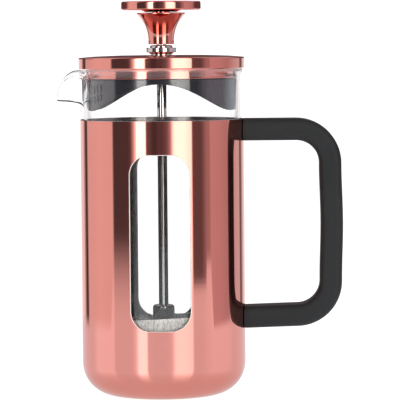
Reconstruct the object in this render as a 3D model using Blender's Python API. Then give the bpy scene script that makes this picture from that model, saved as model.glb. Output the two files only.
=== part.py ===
"""French press for about three cups: a glass beaker in a copper frame with a side handle,
a copper lid with a plastic strainer collar, and a plunger with a mesh filter.

Units are metres and +Z is up. The origin is the centre of the flat base, and every turned
piece has its own origin on the press's axis. +X is the handle's side, -X the spout's, and
the frame's two windows face -Y and +Y.
"""

import math

import bmesh
import bpy
from mathutils import Vector

# ---- Driving dimensions ------------------------------------------------------------------

GAP = 0.0003                      # clearance left between pieces that touch

# Frame: a deep-drawn cup with a window on each side
BODY_RADIUS = 0.0375
BODY_HEIGHT = 0.1265
BODY_WALL = 0.0006
BODY_CORNER = 0.015
WINDOW_BOTTOM = 0.0324
WINDOW_TOP = 0.111
WINDOW_HALF_WIDTH = 0.0135
WINDOW_CORNER = 0.009

# Handle: a D of moulded plastic, screwed on from inside the frame
HANDLE_DEPTH = 0.0102             # in the plane of the D
HANDLE_WIDTH = 0.015
HANDLE_EDGE = 0.0032
GRIP_X = 0.0769
GRIP_BOW = 0.0006
HANDLE_BEND = 0.0156
UPPER_ARM_Z = BODY_HEIGHT - HANDLE_DEPTH / 2
LOWER_BEND_Z = 0.0362             # lower arm's height where it leaves the bend
LOWER_ARM_Z = 0.0355              # and where it meets the frame
SCREW_RADIUS = 0.0015
SCREW_HEAD_RADIUS = 0.003
SCREW_HEAD_THICKNESS = 0.0005
SCREW_LENGTH = 0.008
INSERT_RADIUS = 0.0026
INSERT_BORE = 0.0016
INSERT_LENGTH = 0.008

# Rubber ring under the beaker
SEAT_INNER = 0.014
SEAT_OUTER = 0.020
SEAT_THICKNESS = 0.0015

# Beaker
BEAKER_RADIUS = 0.0359
BEAKER_WALL = 0.0013
BEAKER_CORNER = 0.012
BEAKER_RIM_Z = 0.149
BEAKER_FLARE = 0.0012
FLARE_HEIGHT = 0.004
SPOUT_REACH = 0.0109              # beyond the flared rim
SPOUT_HALF_ANGLE = 26.5           # degrees from -X, where the spout's lip begins
SPOUT_DROP = 0.013                # how far the lip dips below the rim
SPOUT_DIP_ANGLE = 8.6
SPOUT_LIP_HEIGHT = 0.0006         # how far under the lip its bend lies
SPOUT_LIP_START = 0.35            # part of the reach where the level lip starts

# Lid: a cover with a skirt, a ledge that rests on the rim, and a plug inside the beaker
LID_RADIUS = 0.038
LID_WALL = 0.0007
LID_SHOULDER_Z = 0.1543
LID_EDGE_RADIUS = 0.0375
LID_EDGE_Z = 0.1547
LID_CROWN_RADIUS = 0.031
LID_CROWN_Z = 0.1552
LID_TOP_Z = 0.1557
LID_HOLE = 0.0049
PLUG_RADIUS = 0.0343
PLUG_BOTTOM_Z = 0.145

# Strainer collar under the lid
COLLAR_WALL = 0.0017
COLLAR_LOW_Z = 0.1305
COLLAR_TAPER = 0.0005             # how much narrower the lower edge is
COLLAR_SCALLOP = 0.0121
SCALLOP_HALF_ANGLE = 70.0
COLLAR_NECK_TOP_Z = 0.150
SLIT_COUNT = 19
SLIT_PITCH = 4.5                  # degrees
SLIT_WIDTH = 0.001
SLIT_ROWS = ((0.146, 0.477), (0.543, 0.800))   # parts of the collar's height, from the top

# Rod guide in the lid
FLANGE_RADIUS = 0.0069
FLANGE_BOTTOM_Z = 0.1569
FLANGE_TOP_Z = 0.159
FLANGE_FOOT = 0.0053
BUSH_TOP_Z = 0.1602
BUSH_SHANK = 0.0046
BUSH_BOTTOM_Z = 0.151
BUSH_BORE = 0.0036
BUSH_NUT_FLATS = 0.0115
SLEEVE_RADIUS = 0.0033

# Plunger rod and knob
ROD_RADIUS = 0.0022
ROD_BOTTOM_SHOULDER_Z = 0.031
ROD_BOTTOM_Z = 0.0226
ROD_LOWER_THREAD = 0.0017
ROD_TOP_SHOULDER_Z = 0.1612
ROD_TOP_Z = 0.1695
ROD_UPPER_THREAD = 0.0018
NECK_BOTTOM_Z = 0.1606
NECK_RADIUS = 0.00592
NECK_FLARE_Z = 0.162
NECK_TOP_RADIUS = 0.0111
NECK_TOP_Z = 0.175
NECK_CURVE = 0.0171
KNOB_INSERT_RADIUS = 0.004
KNOB_INSERT_TOP_Z = 0.171
CAP_RADIUS = 0.0182
CAP_BOTTOM_Z = 0.1761
CAP_TOP_Z = 0.1802
CAP_EDGE = 0.0008
CAP_SPIGOT = 0.0084

# Filter on the rod's lower end
HUB_RADIUS = 0.005
HUB_TOP_Z = 0.0411
HUB_EDGE = 0.0014
PLATE_WALL = 0.0005
SPRING_PLATE_RADIUS = 0.0305
SPRING_PLATE_TOP_Z = 0.0318       # its raised rim
SPRING_RADIUS = 0.0323
SPRING_COIL = 0.0011
SPRING_WIRE = 0.0003
SPRING_Z = 0.0324
SPRING_TURNS = 18
SCREEN_RADIUS = 0.0344
SCREEN_WALL = 0.0003
SCREEN_RIM_Z = 0.0354             # the rim stands up round the spring
SCREEN_RIM_TILT = 0.0028          # and is higher on one side
SCREEN_RIM_HIGH_SIDE = -55.0
CROSS_PLATE_RADIUS = 0.0312
CROSS_PLATE_TOP_Z = 0.0283
PLATE_HOLES = 8
FILTER_NUT_FLATS = 0.008
FILTER_NUT_HEIGHT = 0.0043

# Facets of the round pieces
WIDE = 40
MEDIUM = 28
NARROW = 16

BODY_INNER = BODY_RADIUS - BODY_WALL
BEAKER_BASE_Z = BODY_WALL + GAP + SEAT_THICKNESS + GAP
HANDLE_FACE = BODY_RADIUS + GAP   # radius of the hollow ends that meet the frame
INSERT_START_X = HANDLE_FACE + 0.0002
HEAD_X = BODY_INNER - GAP          # under the screw heads
SHANK_CLEARANCE = SCREW_RADIUS + GAP
BORE_CLEARANCE = 0.0001
PIN_GAP = ROD_LOWER_THREAD + GAP

# Tops of the pieces that are clamped under the rod's shoulder
SPRING_PLATE_BOSS_Z = ROD_BOTTOM_SHOULDER_Z - GAP
SCREEN_FLOOR_Z = SPRING_PLATE_BOSS_Z - PLATE_WALL - GAP
CROSS_PLATE_BOSS_Z = SCREEN_FLOOR_Z - SCREEN_WALL - GAP
FILTER_NUT_TOP_Z = CROSS_PLATE_BOSS_Z - PLATE_WALL - GAP


# ---- Outlines in the (radius, height) plane ----------------------------------------------

def arc(centre, radius, start, end, steps):
    """Points of an arc, with its angles in degrees."""
    points = []
    for step in range(steps + 1):
        angle = math.radians(start + (end - start) * step / steps)
        points.append((centre[0] + radius * math.cos(angle), centre[1] + radius * math.sin(angle)))
    return points


def walled(path, thickness):
    """Closed outline of a sheet: its face follows path, with the material on path's left."""
    normals = []
    for start, end in zip(path, path[1:]):
        run = Vector((end[0] - start[0], end[1] - start[1])).normalized()
        normals.append(Vector((-run.y, run.x)))
    back = []
    for index, point in enumerate(path):
        before = normals[max(index - 1, 0)]
        after = normals[min(index, len(normals) - 1)]
        mitre = (before + after).normalized()
        shift = mitre * (thickness / mitre.dot(before))
        back.append((max(point[0] + shift.x, 0.0), point[1] + shift.y))
    return list(path) + back[::-1]


def ring(inner, outer, bottom, top):
    """Rectangular outline of a plain ring."""
    return [(outer, bottom), (outer, top), (inner, top), (inner, bottom)]


def mix(start, end, part):
    return start + (end - start) * part


def bezier(controls, part):
    """Point of a cubic curve with four control points."""
    rest = 1.0 - part
    weights = (rest ** 3, 3 * rest ** 2 * part, 3 * rest * part ** 2, part ** 3)
    return tuple(sum(weight * control[axis] for weight, control in zip(weights, controls))
                 for axis in (0, 1))


def even_azimuths(count):
    return [360.0 * step / count for step in range(count)]


# ---- Meshes ------------------------------------------------------------------------------

def turned(outline_at, azimuths):
    """Solid turned about Z. outline_at(azimuth) gives the closed outline there."""
    mesh = bmesh.new()
    on_axis = {}
    columns = []
    for azimuth in azimuths:
        angle = math.radians(azimuth)
        column = []
        for index, (radius, height) in enumerate(outline_at(azimuth)):
            if radius > 1e-7:
                spot = (radius * math.cos(angle), radius * math.sin(angle), height)
                column.append(mesh.verts.new(spot))
                continue
            if index not in on_axis:
                on_axis[index] = mesh.verts.new((0.0, 0.0, height))
            column.append(on_axis[index])
        columns.append(column)
    for here, there in zip(columns, columns[1:] + columns[:1]):
        for index in range(len(here)):
            after = (index + 1) % len(here)
            corners = list(dict.fromkeys((here[index], there[index], there[after], here[after])))
            if len(corners) > 2:
                mesh.faces.new(corners)
    bmesh.ops.recalc_face_normals(mesh, faces=mesh.faces)
    return mesh


def turned_evenly(outline, facets):
    return turned(lambda azimuth: outline, even_azimuths(facets))


def hex_nut(flats, bore, bottom, top, facets=24):
    """Hexagonal nut with a round bore."""
    def outline_at(azimuth):
        from_flat = (azimuth + 30.0) % 60.0 - 30.0
        outer = flats / 2 / math.cos(math.radians(from_flat))
        return ring(bore, outer, bottom, top)
    return turned(outline_at, even_azimuths(facets))


def rod_mesh(start, end, radius, facets=16):
    """Round bar between two points, for cutters."""
    mesh = bmesh.new()
    run = Vector(end) - Vector(start)
    turn = run.to_track_quat("Z", "Y").to_matrix().to_4x4()
    turn.translation = (Vector(start) + Vector(end)) / 2
    bmesh.ops.create_cone(mesh, cap_ends=True, segments=facets, radius1=radius, radius2=radius,
                          depth=run.length, matrix=turn)
    return mesh


# ---- Objects -----------------------------------------------------------------------------

def clear_scene():
    for thing in list(bpy.data.objects):
        bpy.data.objects.remove(thing, do_unlink=True)


def material(name, colour, metallic, roughness, transmission=0.0):
    made = bpy.data.materials.new(name)
    made.use_nodes = True
    shader = made.node_tree.nodes["Principled BSDF"]
    shader.inputs["Base Color"].default_value = (*colour, 1.0)
    shader.inputs["Metallic"].default_value = metallic
    shader.inputs["Roughness"].default_value = roughness
    shader.inputs["Transmission Weight"].default_value = transmission
    return made


def empty(name, parent=None):
    """A body's frame, on the press's axis."""
    made = bpy.data.objects.new(name, None)
    bpy.context.collection.objects.link(made)
    made.parent = parent
    return made


def add(name, mesh, finish, parent):
    """Turn a bmesh into a named piece."""
    data = bpy.data.meshes.new(name)
    mesh.to_mesh(data)
    mesh.free()
    data.materials.append(finish)
    data.shade_smooth()
    data.set_sharp_from_angle(angle=math.radians(35))
    piece = bpy.data.objects.new(name, data)
    bpy.context.collection.objects.link(piece)
    piece.parent = parent
    return piece


def cut(piece, name, mesh):
    """Subtract a mesh from a piece."""
    data = bpy.data.meshes.new(name)
    mesh.to_mesh(data)
    mesh.free()
    cutter = bpy.data.objects.new(name, data)
    bpy.context.collection.objects.link(cutter)
    cutter.parent = piece.parent
    cutter.hide_render = True
    cutter.display_type = "WIRE"
    boolean = piece.modifiers.new(name, "BOOLEAN")
    boolean.operation = "DIFFERENCE"
    boolean.solver = "EXACT"
    boolean.object = cutter


# ---- Frame and handle --------------------------------------------------------------------

def window_cutter():
    """Rounded bar along Y that opens both windows at once."""
    half = WINDOW_HALF_WIDTH - WINDOW_CORNER
    low = WINDOW_BOTTOM + WINDOW_CORNER
    high = WINDOW_TOP - WINDOW_CORNER
    outline = []
    for centre, start in (((half, high), 0), ((-half, high), 90), ((-half, low), 180), ((half, low), 270)):
        outline += arc(centre, WINDOW_CORNER, start, start + 90, 5)
    mesh = bmesh.new()
    near = [mesh.verts.new((x, -2 * BODY_RADIUS, z)) for x, z in outline]
    face = mesh.faces.new(near)
    far = bmesh.ops.extrude_face_region(mesh, geom=[face])["geom"]
    moved = [item for item in far if isinstance(item, bmesh.types.BMVert)]
    bmesh.ops.translate(mesh, verts=moved, vec=(0.0, 4 * BODY_RADIUS, 0.0))
    bmesh.ops.recalc_face_normals(mesh, faces=mesh.faces)
    return mesh


def make_frame_shell(finish, parent):
    path = [(BODY_RADIUS, BODY_HEIGHT)]
    centre = (BODY_RADIUS - BODY_CORNER, BODY_CORNER)
    path += arc(centre, BODY_CORNER, 0, -90, 6)
    path += [(0.0, 0.0)]
    outline = walled(path[::-1], BODY_WALL)
    shell = add("frame_shell", turned_evenly(outline, WIDE), finish, parent)
    cut(shell, "window_cutter", window_cutter())
    for name, height in (("upper", UPPER_ARM_Z), ("lower", LOWER_ARM_Z)):
        start = (BODY_INNER - 0.004, 0.0, height)
        end = (BODY_RADIUS + 0.004, 0.0, height)
        cut(shell, "screw_hole_" + name, rod_mesh(start, end, SHANK_CLEARANCE))
    return shell


def handle_path():
    """Centreline of the D from the upper end to the lower, as (x, z) points."""
    bend_x = GRIP_X - HANDLE_BEND
    upper_bend_z = UPPER_ARM_Z - HANDLE_BEND
    lower_bend_z = LOWER_BEND_Z + HANDLE_BEND
    path = [(HANDLE_FACE, UPPER_ARM_Z), (0.05, UPPER_ARM_Z)]
    path += arc((bend_x, upper_bend_z), HANDLE_BEND, 90, 0, 7)
    grip_steps = 6
    for step in range(1, grip_steps):
        part = step / grip_steps
        bow = GRIP_BOW * 4 * part * (1 - part)
        path.append((GRIP_X + bow, upper_bend_z + (lower_bend_z - upper_bend_z) * part))
    path += arc((bend_x, lower_bend_z), HANDLE_BEND, 0, -90, 7)
    path += [(0.05, LOWER_ARM_Z + (LOWER_BEND_Z - LOWER_ARM_Z) / 2), (HANDLE_FACE, LOWER_ARM_Z)]
    return path


def handle_section():
    """Rounded rectangle of the handle, as (outward, sideways) points, mirrored in both."""
    outward = HANDLE_DEPTH / 2 - HANDLE_EDGE
    sideways = HANDLE_WIDTH / 2 - HANDLE_EDGE
    section = []
    corners = (((outward, sideways), 0), ((-outward, sideways), 90),
               ((-outward, -sideways), 180), ((outward, -sideways), 270))
    for centre, start in corners:
        section += arc(centre, HANDLE_EDGE, start, start + 90, 3)
    return section


def make_handle(finish, parent):
    path = handle_path()
    section = handle_section()
    mesh = bmesh.new()
    loops = []
    for index, (x, z) in enumerate(path):
        before = path[max(index - 1, 0)]
        after = path[min(index + 1, len(path) - 1)]
        run = Vector((after[0] - before[0], after[1] - before[1])).normalized()
        outward = Vector((-run.y, run.x))
        at_end = index in (0, len(path) - 1)
        loop = []
        for out, side in section:
            spot = Vector((x, side, z)) + Vector((outward.x, 0.0, outward.y)) * out
            if at_end:
                spot.x = math.sqrt(HANDLE_FACE ** 2 - side ** 2)
            loop.append(mesh.verts.new(spot))
        loops.append(loop)
    count = len(section)
    for here, there in zip(loops, loops[1:]):
        for index in range(count):
            after = (index + 1) % count
            mesh.faces.new((here[index], there[index], there[after], here[after]))
    close_hollow_end(mesh, loops[0])
    close_hollow_end(mesh, loops[-1])
    bmesh.ops.recalc_face_normals(mesh, faces=mesh.faces)
    handle = add("handle", mesh, finish, parent)
    for name, height in (("upper", UPPER_ARM_Z), ("lower", LOWER_ARM_Z)):
        start = (HANDLE_FACE - 0.002, 0.0, height)
        end = (INSERT_START_X + INSERT_LENGTH + GAP, 0.0, height)
        cut(handle, "insert_bore_" + name, rod_mesh(start, end, INSERT_RADIUS + BORE_CLEARANCE))
    return handle


def close_hollow_end(mesh, loop):
    """Close an end that is hollowed to sit on the round frame, in strips along the axis."""
    count = len(loop)
    quarter = count // 4
    over = [loop[(index - quarter) % count] for index in range(2 * quarter)]
    under = [loop[(quarter + index) % count] for index in range(2 * quarter)]
    for index in range(2 * quarter - 1):
        mesh.faces.new((over[index], over[index + 1], under[-2 - index], under[-1 - index]))


def make_handle_fixings(steel, brass, parent):
    """Two screws from inside the frame, each into a threaded insert in the handle."""
    shank = [(0.0, -SCREW_HEAD_THICKNESS), (SCREW_HEAD_RADIUS, -SCREW_HEAD_THICKNESS),
             (SCREW_HEAD_RADIUS, 0.0), (SCREW_RADIUS, 0.0),
             (SCREW_RADIUS, SCREW_LENGTH), (0.0, SCREW_LENGTH)]
    heights = (("upper", UPPER_ARM_Z), ("lower", LOWER_ARM_Z))
    for name, height in heights:
        screw = add("handle_screw_" + name, turned_evenly(shank, 16), steel, parent)
        screw.location = (HEAD_X, 0.0, height)
        screw.rotation_euler = (0.0, math.radians(90), 0.0)
    for name, height in heights:
        outline = ring(INSERT_BORE, INSERT_RADIUS, 0.0, INSERT_LENGTH)
        insert = add("handle_insert_" + name, turned_evenly(outline, 16), brass, parent)
        insert.location = (INSERT_START_X, 0.0, height)
        insert.rotation_euler = (0.0, math.radians(90), 0.0)


def make_seat_ring(finish, parent):
    bottom = BODY_WALL + GAP
    outline = ring(SEAT_INNER, SEAT_OUTER, bottom, bottom + SEAT_THICKNESS)
    return add("seat_ring", turned_evenly(outline, MEDIUM), finish, parent)


# ---- Beaker ------------------------------------------------------------------------------

def beaker_path(azimuth):
    """Outer face of the glass at an azimuth, from the rim down to the middle of the base.

    Round most of the rim the wall flares a little and ends upright. At the spout it leans
    out further and further until the lip is level.
    """
    from_spout = abs(azimuth - 180.0)
    lip = 0.0
    if from_spout < SPOUT_HALF_ANGLE:
        lip = math.cos(math.radians(90.0 * from_spout / SPOUT_HALF_ANGLE)) ** 2
    lean = 1.0 - (1.0 - lip) ** 3
    reach = BEAKER_FLARE + SPOUT_REACH * lip
    dip = SPOUT_DROP * math.exp(-(from_spout / SPOUT_DIP_ANGLE) ** 2)
    rim_z = BEAKER_RIM_Z - dip - BEAKER_WALL * lean
    below_rim = mix(FLARE_HEIGHT / 2, SPOUT_LIP_HEIGHT, lean)
    controls = ((0.0, FLARE_HEIGHT), (0.0, below_rim), (mix(1.0, SPOUT_LIP_START, lean), below_rim),
                (1.0, 0.0))
    path = []
    steps = 5
    for step in range(steps + 1):
        out, down = bezier(controls, 1.0 - step / steps)
        path.append((BEAKER_RADIUS + reach * out, rim_z - down))
    centre = (BEAKER_RADIUS - BEAKER_CORNER, BEAKER_BASE_Z + BEAKER_CORNER)
    path += arc(centre, BEAKER_CORNER, 0, -90, 4)
    path += [(0.0, BEAKER_BASE_Z)]
    return path


def beaker_outline(azimuth):
    return walled(beaker_path(azimuth)[::-1], BEAKER_WALL)


def make_beaker(finish, parent):
    azimuths = even_azimuths(WIDE)
    for offset in (3.0, 6.0, 12.0, 15.0, 22.5):
        azimuths += [180.0 - offset, 180.0 + offset]
    return add("beaker", turned(beaker_outline, sorted(azimuths)), finish, parent)


# ---- Lid ---------------------------------------------------------------------------------

def make_lid_shell(finish, parent):
    ledge_z = BEAKER_RIM_Z + GAP
    path = [(PLUG_RADIUS, PLUG_BOTTOM_Z), (PLUG_RADIUS, ledge_z),
            (LID_RADIUS, ledge_z), (LID_RADIUS, LID_SHOULDER_Z), (LID_EDGE_RADIUS, LID_EDGE_Z),
            (LID_CROWN_RADIUS, LID_CROWN_Z), (LID_RADIUS / 2, LID_TOP_Z - 0.0001), (LID_HOLE, LID_TOP_Z)]
    return add("lid_shell", turned_evenly(walled(path, LID_WALL), WIDE), finish, parent)


def collar_low_edge(azimuth):
    """Height of the collar's scalloped lower edge."""
    from_side = abs((azimuth - 90.0 + 90.0) % 180.0 - 90.0)
    if from_side > SCALLOP_HALF_ANGLE:
        return COLLAR_LOW_Z
    wave = math.cos(math.radians(90.0 * from_side / SCALLOP_HALF_ANGLE))
    return COLLAR_LOW_Z + COLLAR_SCALLOP * wave ** 2


def collar_outline(azimuth):
    low = collar_low_edge(azimuth)
    top = PLUG_BOTTOM_Z - GAP
    low_radius = PLUG_RADIUS - COLLAR_TAPER * (top - low) / (top - COLLAR_LOW_Z)
    inner = PLUG_RADIUS - COLLAR_WALL
    neck = PLUG_RADIUS - LID_WALL - GAP
    neck_inner = neck - COLLAR_WALL
    return [(low_radius, low), (PLUG_RADIUS, top), (neck, top), (neck, COLLAR_NECK_TOP_Z),
            (neck_inner, COLLAR_NECK_TOP_Z), (neck_inner, top - 0.0007),
            (inner, top - 0.0014), (low_radius - COLLAR_WALL, low)]


def slit_cutter():
    """Blocks, one for each slit on the spout's side."""
    mesh = bmesh.new()
    top = PLUG_BOTTOM_Z - GAP
    inner = PLUG_RADIUS - 2 * COLLAR_WALL
    outer = PLUG_RADIUS + COLLAR_WALL
    for slit in range(SLIT_COUNT):
        azimuth = 180.0 + (slit - (SLIT_COUNT - 1) / 2) * SLIT_PITCH
        along = Vector((math.cos(math.radians(azimuth)), math.sin(math.radians(azimuth)), 0.0))
        across = Vector((-along.y, along.x, 0.0)) * (SLIT_WIDTH / 2)
        drop = top - collar_low_edge(azimuth)
        for start, end in SLIT_ROWS:
            corners = []
            for height in (top - drop * end, top - drop * start):
                for radius, side in ((inner, -1), (outer, -1), (outer, 1), (inner, 1)):
                    corners.append(mesh.verts.new(along * radius + across * side + Vector((0, 0, height))))
            low, high = corners[:4], corners[4:]
            mesh.faces.new(low[::-1])
            mesh.faces.new(high)
            for index in range(4):
                after = (index + 1) % 4
                mesh.faces.new((low[index], low[after], high[after], high[index]))
    return mesh


def make_collar(finish, parent):
    collar = add("strainer_collar", turned(collar_outline, even_azimuths(48)), finish, parent)
    cut(collar, "slit_cutter", slit_cutter())
    return collar


def make_guide_bush(finish, parent):
    foot_z = LID_TOP_Z + GAP
    outline = [(BUSH_SHANK, BUSH_BOTTOM_Z), (BUSH_SHANK, foot_z), (FLANGE_FOOT, foot_z),
               (FLANGE_FOOT, FLANGE_BOTTOM_Z), (FLANGE_RADIUS, FLANGE_BOTTOM_Z),
               (FLANGE_RADIUS, FLANGE_TOP_Z - 0.0004), (FLANGE_RADIUS - 0.0004, FLANGE_TOP_Z),
               (0.0051, FLANGE_TOP_Z), (0.0047, BUSH_TOP_Z - 0.0004), (0.0042, BUSH_TOP_Z),
               (BUSH_BORE, BUSH_TOP_Z), (BUSH_BORE, BUSH_BOTTOM_Z)]
    return add("guide_bush", turned_evenly(outline, 24), finish, parent)


def make_bush_nut(finish, parent):
    top = LID_TOP_Z - LID_WALL - GAP
    mesh = hex_nut(BUSH_NUT_FLATS, BUSH_SHANK + 2 * BORE_CLEARANCE, top - 0.003, top)
    return add("bush_nut", mesh, finish, parent)


def make_rod_sleeve(finish, parent):
    outline = ring(ROD_RADIUS + BORE_CLEARANCE, SLEEVE_RADIUS, BUSH_BOTTOM_Z, BUSH_TOP_Z - 0.0002)
    return add("rod_sleeve", turned_evenly(outline, NARROW), finish, parent)


# ---- Plunger -----------------------------------------------------------------------------

def make_rod(finish, parent):
    outline = [(0.0, ROD_BOTTOM_Z), (ROD_LOWER_THREAD, ROD_BOTTOM_Z),
               (ROD_LOWER_THREAD, ROD_BOTTOM_SHOULDER_Z), (ROD_RADIUS, ROD_BOTTOM_SHOULDER_Z),
               (ROD_RADIUS, ROD_TOP_SHOULDER_Z), (ROD_UPPER_THREAD, ROD_TOP_SHOULDER_Z),
               (ROD_UPPER_THREAD, ROD_TOP_Z), (0.0, ROD_TOP_Z)]
    return add("plunger_rod", turned_evenly(outline, NARROW), finish, parent)


def make_knob(copper, brass, parent):
    """Waisted neck on the rod, the insert that it screws onto, and the flat cap."""
    bore = KNOB_INSERT_RADIUS + GAP
    rod_hole = ROD_RADIUS + GAP
    seat_z = ROD_TOP_SHOULDER_Z
    outline = [(rod_hole, NECK_BOTTOM_Z), (NECK_RADIUS - 0.0003, NECK_BOTTOM_Z),
               (NECK_RADIUS, NECK_BOTTOM_Z + 0.0003)]
    rise = NECK_TOP_Z - 0.0006 - NECK_FLARE_Z
    flare = NECK_TOP_RADIUS - NECK_RADIUS
    full_bulge = NECK_CURVE - math.sqrt(NECK_CURVE ** 2 - rise ** 2)
    steps = 5
    for step in range(steps + 1):
        up = rise * step / steps
        bulge = NECK_CURVE - math.sqrt(NECK_CURVE ** 2 - up ** 2)
        outline.append((NECK_RADIUS + flare * bulge / full_bulge, NECK_FLARE_Z + up))
    outline += [(NECK_TOP_RADIUS, NECK_TOP_Z), (bore, NECK_TOP_Z), (bore, seat_z), (rod_hole, seat_z)]
    add("knob_neck", turned_evenly(outline, MEDIUM), copper, parent)

    insert = ring(ROD_UPPER_THREAD + BORE_CLEARANCE, KNOB_INSERT_RADIUS, seat_z + GAP, KNOB_INSERT_TOP_Z)
    add("knob_insert", turned_evenly(insert, NARROW), brass, parent)

    spigot_z = NECK_TOP_Z + GAP
    stud_z = KNOB_INSERT_TOP_Z + GAP
    centre = CAP_RADIUS - CAP_EDGE
    outline = [(0.0, stud_z), (KNOB_INSERT_RADIUS, stud_z), (KNOB_INSERT_RADIUS, spigot_z),
               (CAP_SPIGOT, spigot_z), (CAP_SPIGOT, CAP_BOTTOM_Z)]
    outline += arc((centre, CAP_BOTTOM_Z + CAP_EDGE), CAP_EDGE, -90, 0, 2)
    outline += arc((centre, CAP_TOP_Z - CAP_EDGE), CAP_EDGE, 0, 90, 2)
    outline += [(0.0, CAP_TOP_Z)]
    add("knob_cap", turned_evenly(outline, WIDE), copper, parent)


def make_filter_hub(finish, parent):
    bottom = SPRING_PLATE_BOSS_Z + GAP
    outline = [(ROD_RADIUS + GAP, bottom), (HUB_RADIUS, bottom)]
    outline += arc((HUB_RADIUS - HUB_EDGE, HUB_TOP_Z - HUB_EDGE), HUB_EDGE, 0, 90, 3)
    outline += [(ROD_RADIUS + GAP, HUB_TOP_Z)]
    return add("filter_hub", turned_evenly(outline, NARROW), finish, parent)


def screen_outline(azimuth):
    """Flat mesh floor with a rim that stands up against the glass, higher on one side."""
    turn = 0.0008
    underside = SCREEN_FLOOR_Z - SCREEN_WALL
    rim_z = SCREEN_RIM_Z + SCREEN_RIM_TILT * math.cos(math.radians(azimuth - SCREEN_RIM_HIGH_SIDE))
    path = [(PIN_GAP, underside)]
    path += arc((SCREEN_RADIUS - turn, underside + turn), turn, -90, 0, 2)
    path += [(SCREEN_RADIUS, rim_z)]
    return walled(path, SCREEN_WALL)


def make_filter_screen(finish, parent):
    return add("filter_screen", turned(screen_outline, even_azimuths(WIDE)), finish, parent)


def make_coil_spring(finish, parent):
    """Fine spring bent into a ring, which presses the screen's rim against the glass."""
    steps = SPRING_TURNS * 7
    sides = 4
    mesh = bmesh.new()
    loops = []
    for step in range(steps):
        azimuth = 2 * math.pi * step / steps
        phase = azimuth * SPRING_TURNS
        radial = Vector((math.cos(azimuth), math.sin(azimuth), 0.0))
        around = Vector((-radial.y, radial.x, 0.0))
        up = Vector((0.0, 0.0, 1.0))
        outward = radial * math.cos(phase) + up * math.sin(phase)
        winding = up * math.cos(phase) - radial * math.sin(phase)
        centre = radial * SPRING_RADIUS + up * SPRING_Z + outward * SPRING_COIL
        run = winding * (SPRING_COIL * SPRING_TURNS) + around * SPRING_RADIUS
        sideways = run.cross(outward).normalized()
        loop = []
        for side in range(sides):
            angle = 2 * math.pi * side / sides
            shift = outward * math.cos(angle) + sideways * math.sin(angle)
            loop.append(mesh.verts.new(centre + shift * SPRING_WIRE))
        loops.append(loop)
    for here, there in zip(loops, loops[1:] + loops[:1]):
        for side in range(sides):
            after = (side + 1) % sides
            mesh.faces.new((here[side], there[side], there[after], here[after]))
    bmesh.ops.recalc_face_normals(mesh, faces=mesh.faces)
    return add("coil_spring", mesh, finish, parent)


def dished_plate(radius, top, boss_radius, boss_top, slope):
    """Round plate whose middle is at another height than its rim."""
    path = [(PIN_GAP, boss_top), (boss_radius, boss_top), (boss_radius + slope, top), (radius, top)]
    return turned_evenly(walled(path[::-1], PLATE_WALL), MEDIUM)


def hole_cutter(count, circle, radius, height, facets):
    """A ring of upright bars that pierce a plate."""
    mesh = bmesh.new()
    for index in range(count):
        angle = 2 * math.pi * (index + 0.5) / count
        spot = Vector((circle * math.cos(angle), circle * math.sin(angle), height))
        bar = rod_mesh(spot - Vector((0, 0, 0.002)), spot + Vector((0, 0, 0.002)), radius, facets)
        scratch = bpy.data.meshes.new("bar")
        bar.to_mesh(scratch)
        bar.free()
        mesh.from_mesh(scratch)
        bpy.data.meshes.remove(scratch)
    return mesh


def make_plates(finish, parent):
    mesh = dished_plate(SPRING_PLATE_RADIUS, SPRING_PLATE_TOP_Z, 0.007, SPRING_PLATE_BOSS_Z, 0.002)
    spring_plate = add("spring_plate", mesh, finish, parent)
    cut(spring_plate, "spring_plate_holes",
        hole_cutter(PLATE_HOLES, 0.0195, 0.0052, SPRING_PLATE_TOP_Z, 8))

    mesh = dished_plate(CROSS_PLATE_RADIUS, CROSS_PLATE_TOP_Z, 0.0055, CROSS_PLATE_BOSS_Z, 0.0025)
    cross_plate = add("cross_plate", mesh, finish, parent)
    cut(cross_plate, "cross_plate_holes",
        hole_cutter(PLATE_HOLES, 0.0215, 0.006, CROSS_PLATE_TOP_Z, 8))


def make_filter_nut(finish, parent):
    bottom = FILTER_NUT_TOP_Z - FILTER_NUT_HEIGHT
    mesh = hex_nut(FILTER_NUT_FLATS, ROD_LOWER_THREAD + BORE_CLEARANCE, bottom, FILTER_NUT_TOP_Z)
    return add("filter_nut", mesh, finish, parent)


# ---- Whole press -------------------------------------------------------------------------

def main():
    clear_scene()
    copper = material("polished_copper", (0.72, 0.32, 0.23), 1.0, 0.12)
    chrome = material("chrome_steel", (0.75, 0.75, 0.76), 1.0, 0.08)
    mesh_steel = material("filter_steel", (0.62, 0.62, 0.62), 1.0, 0.3)
    brass = material("insert_brass", (0.72, 0.56, 0.28), 1.0, 0.3)
    glass = material("beaker_glass", (0.98, 0.99, 0.99), 0.0, 0.02, transmission=1.0)
    black = material("handle_plastic", (0.03, 0.03, 0.032), 0.0, 0.55)
    collar_black = material("collar_plastic", (0.03, 0.03, 0.032), 0.0, 0.15)
    rubber = material("seat_rubber", (0.05, 0.05, 0.05), 0.0, 0.7)

    frame = empty("frame_body")
    make_frame_shell(copper, frame)
    make_handle(black, frame)
    make_handle_fixings(chrome, brass, frame)
    make_seat_ring(rubber, frame)

    beaker = empty("beaker_body", frame)
    make_beaker(glass, beaker)

    lid_bush = empty("lid_bush_body", beaker)
    make_guide_bush(chrome, lid_bush)
    make_bush_nut(chrome, lid_bush)
    lid = empty("lid_body", lid_bush)
    make_lid_shell(copper, lid)
    make_collar(collar_black, lid)

    rod_guide = empty("rod_guide_body", lid_bush)
    make_rod_sleeve(chrome, rod_guide)
    plunger = empty("plunger_body", rod_guide)
    make_rod(chrome, plunger)
    make_knob(copper, brass, plunger)
    make_filter_hub(chrome, plunger)
    make_filter_screen(mesh_steel, plunger)
    make_coil_spring(mesh_steel, plunger)
    make_plates(chrome, plunger)
    make_filter_nut(chrome, plunger)


main()
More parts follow.
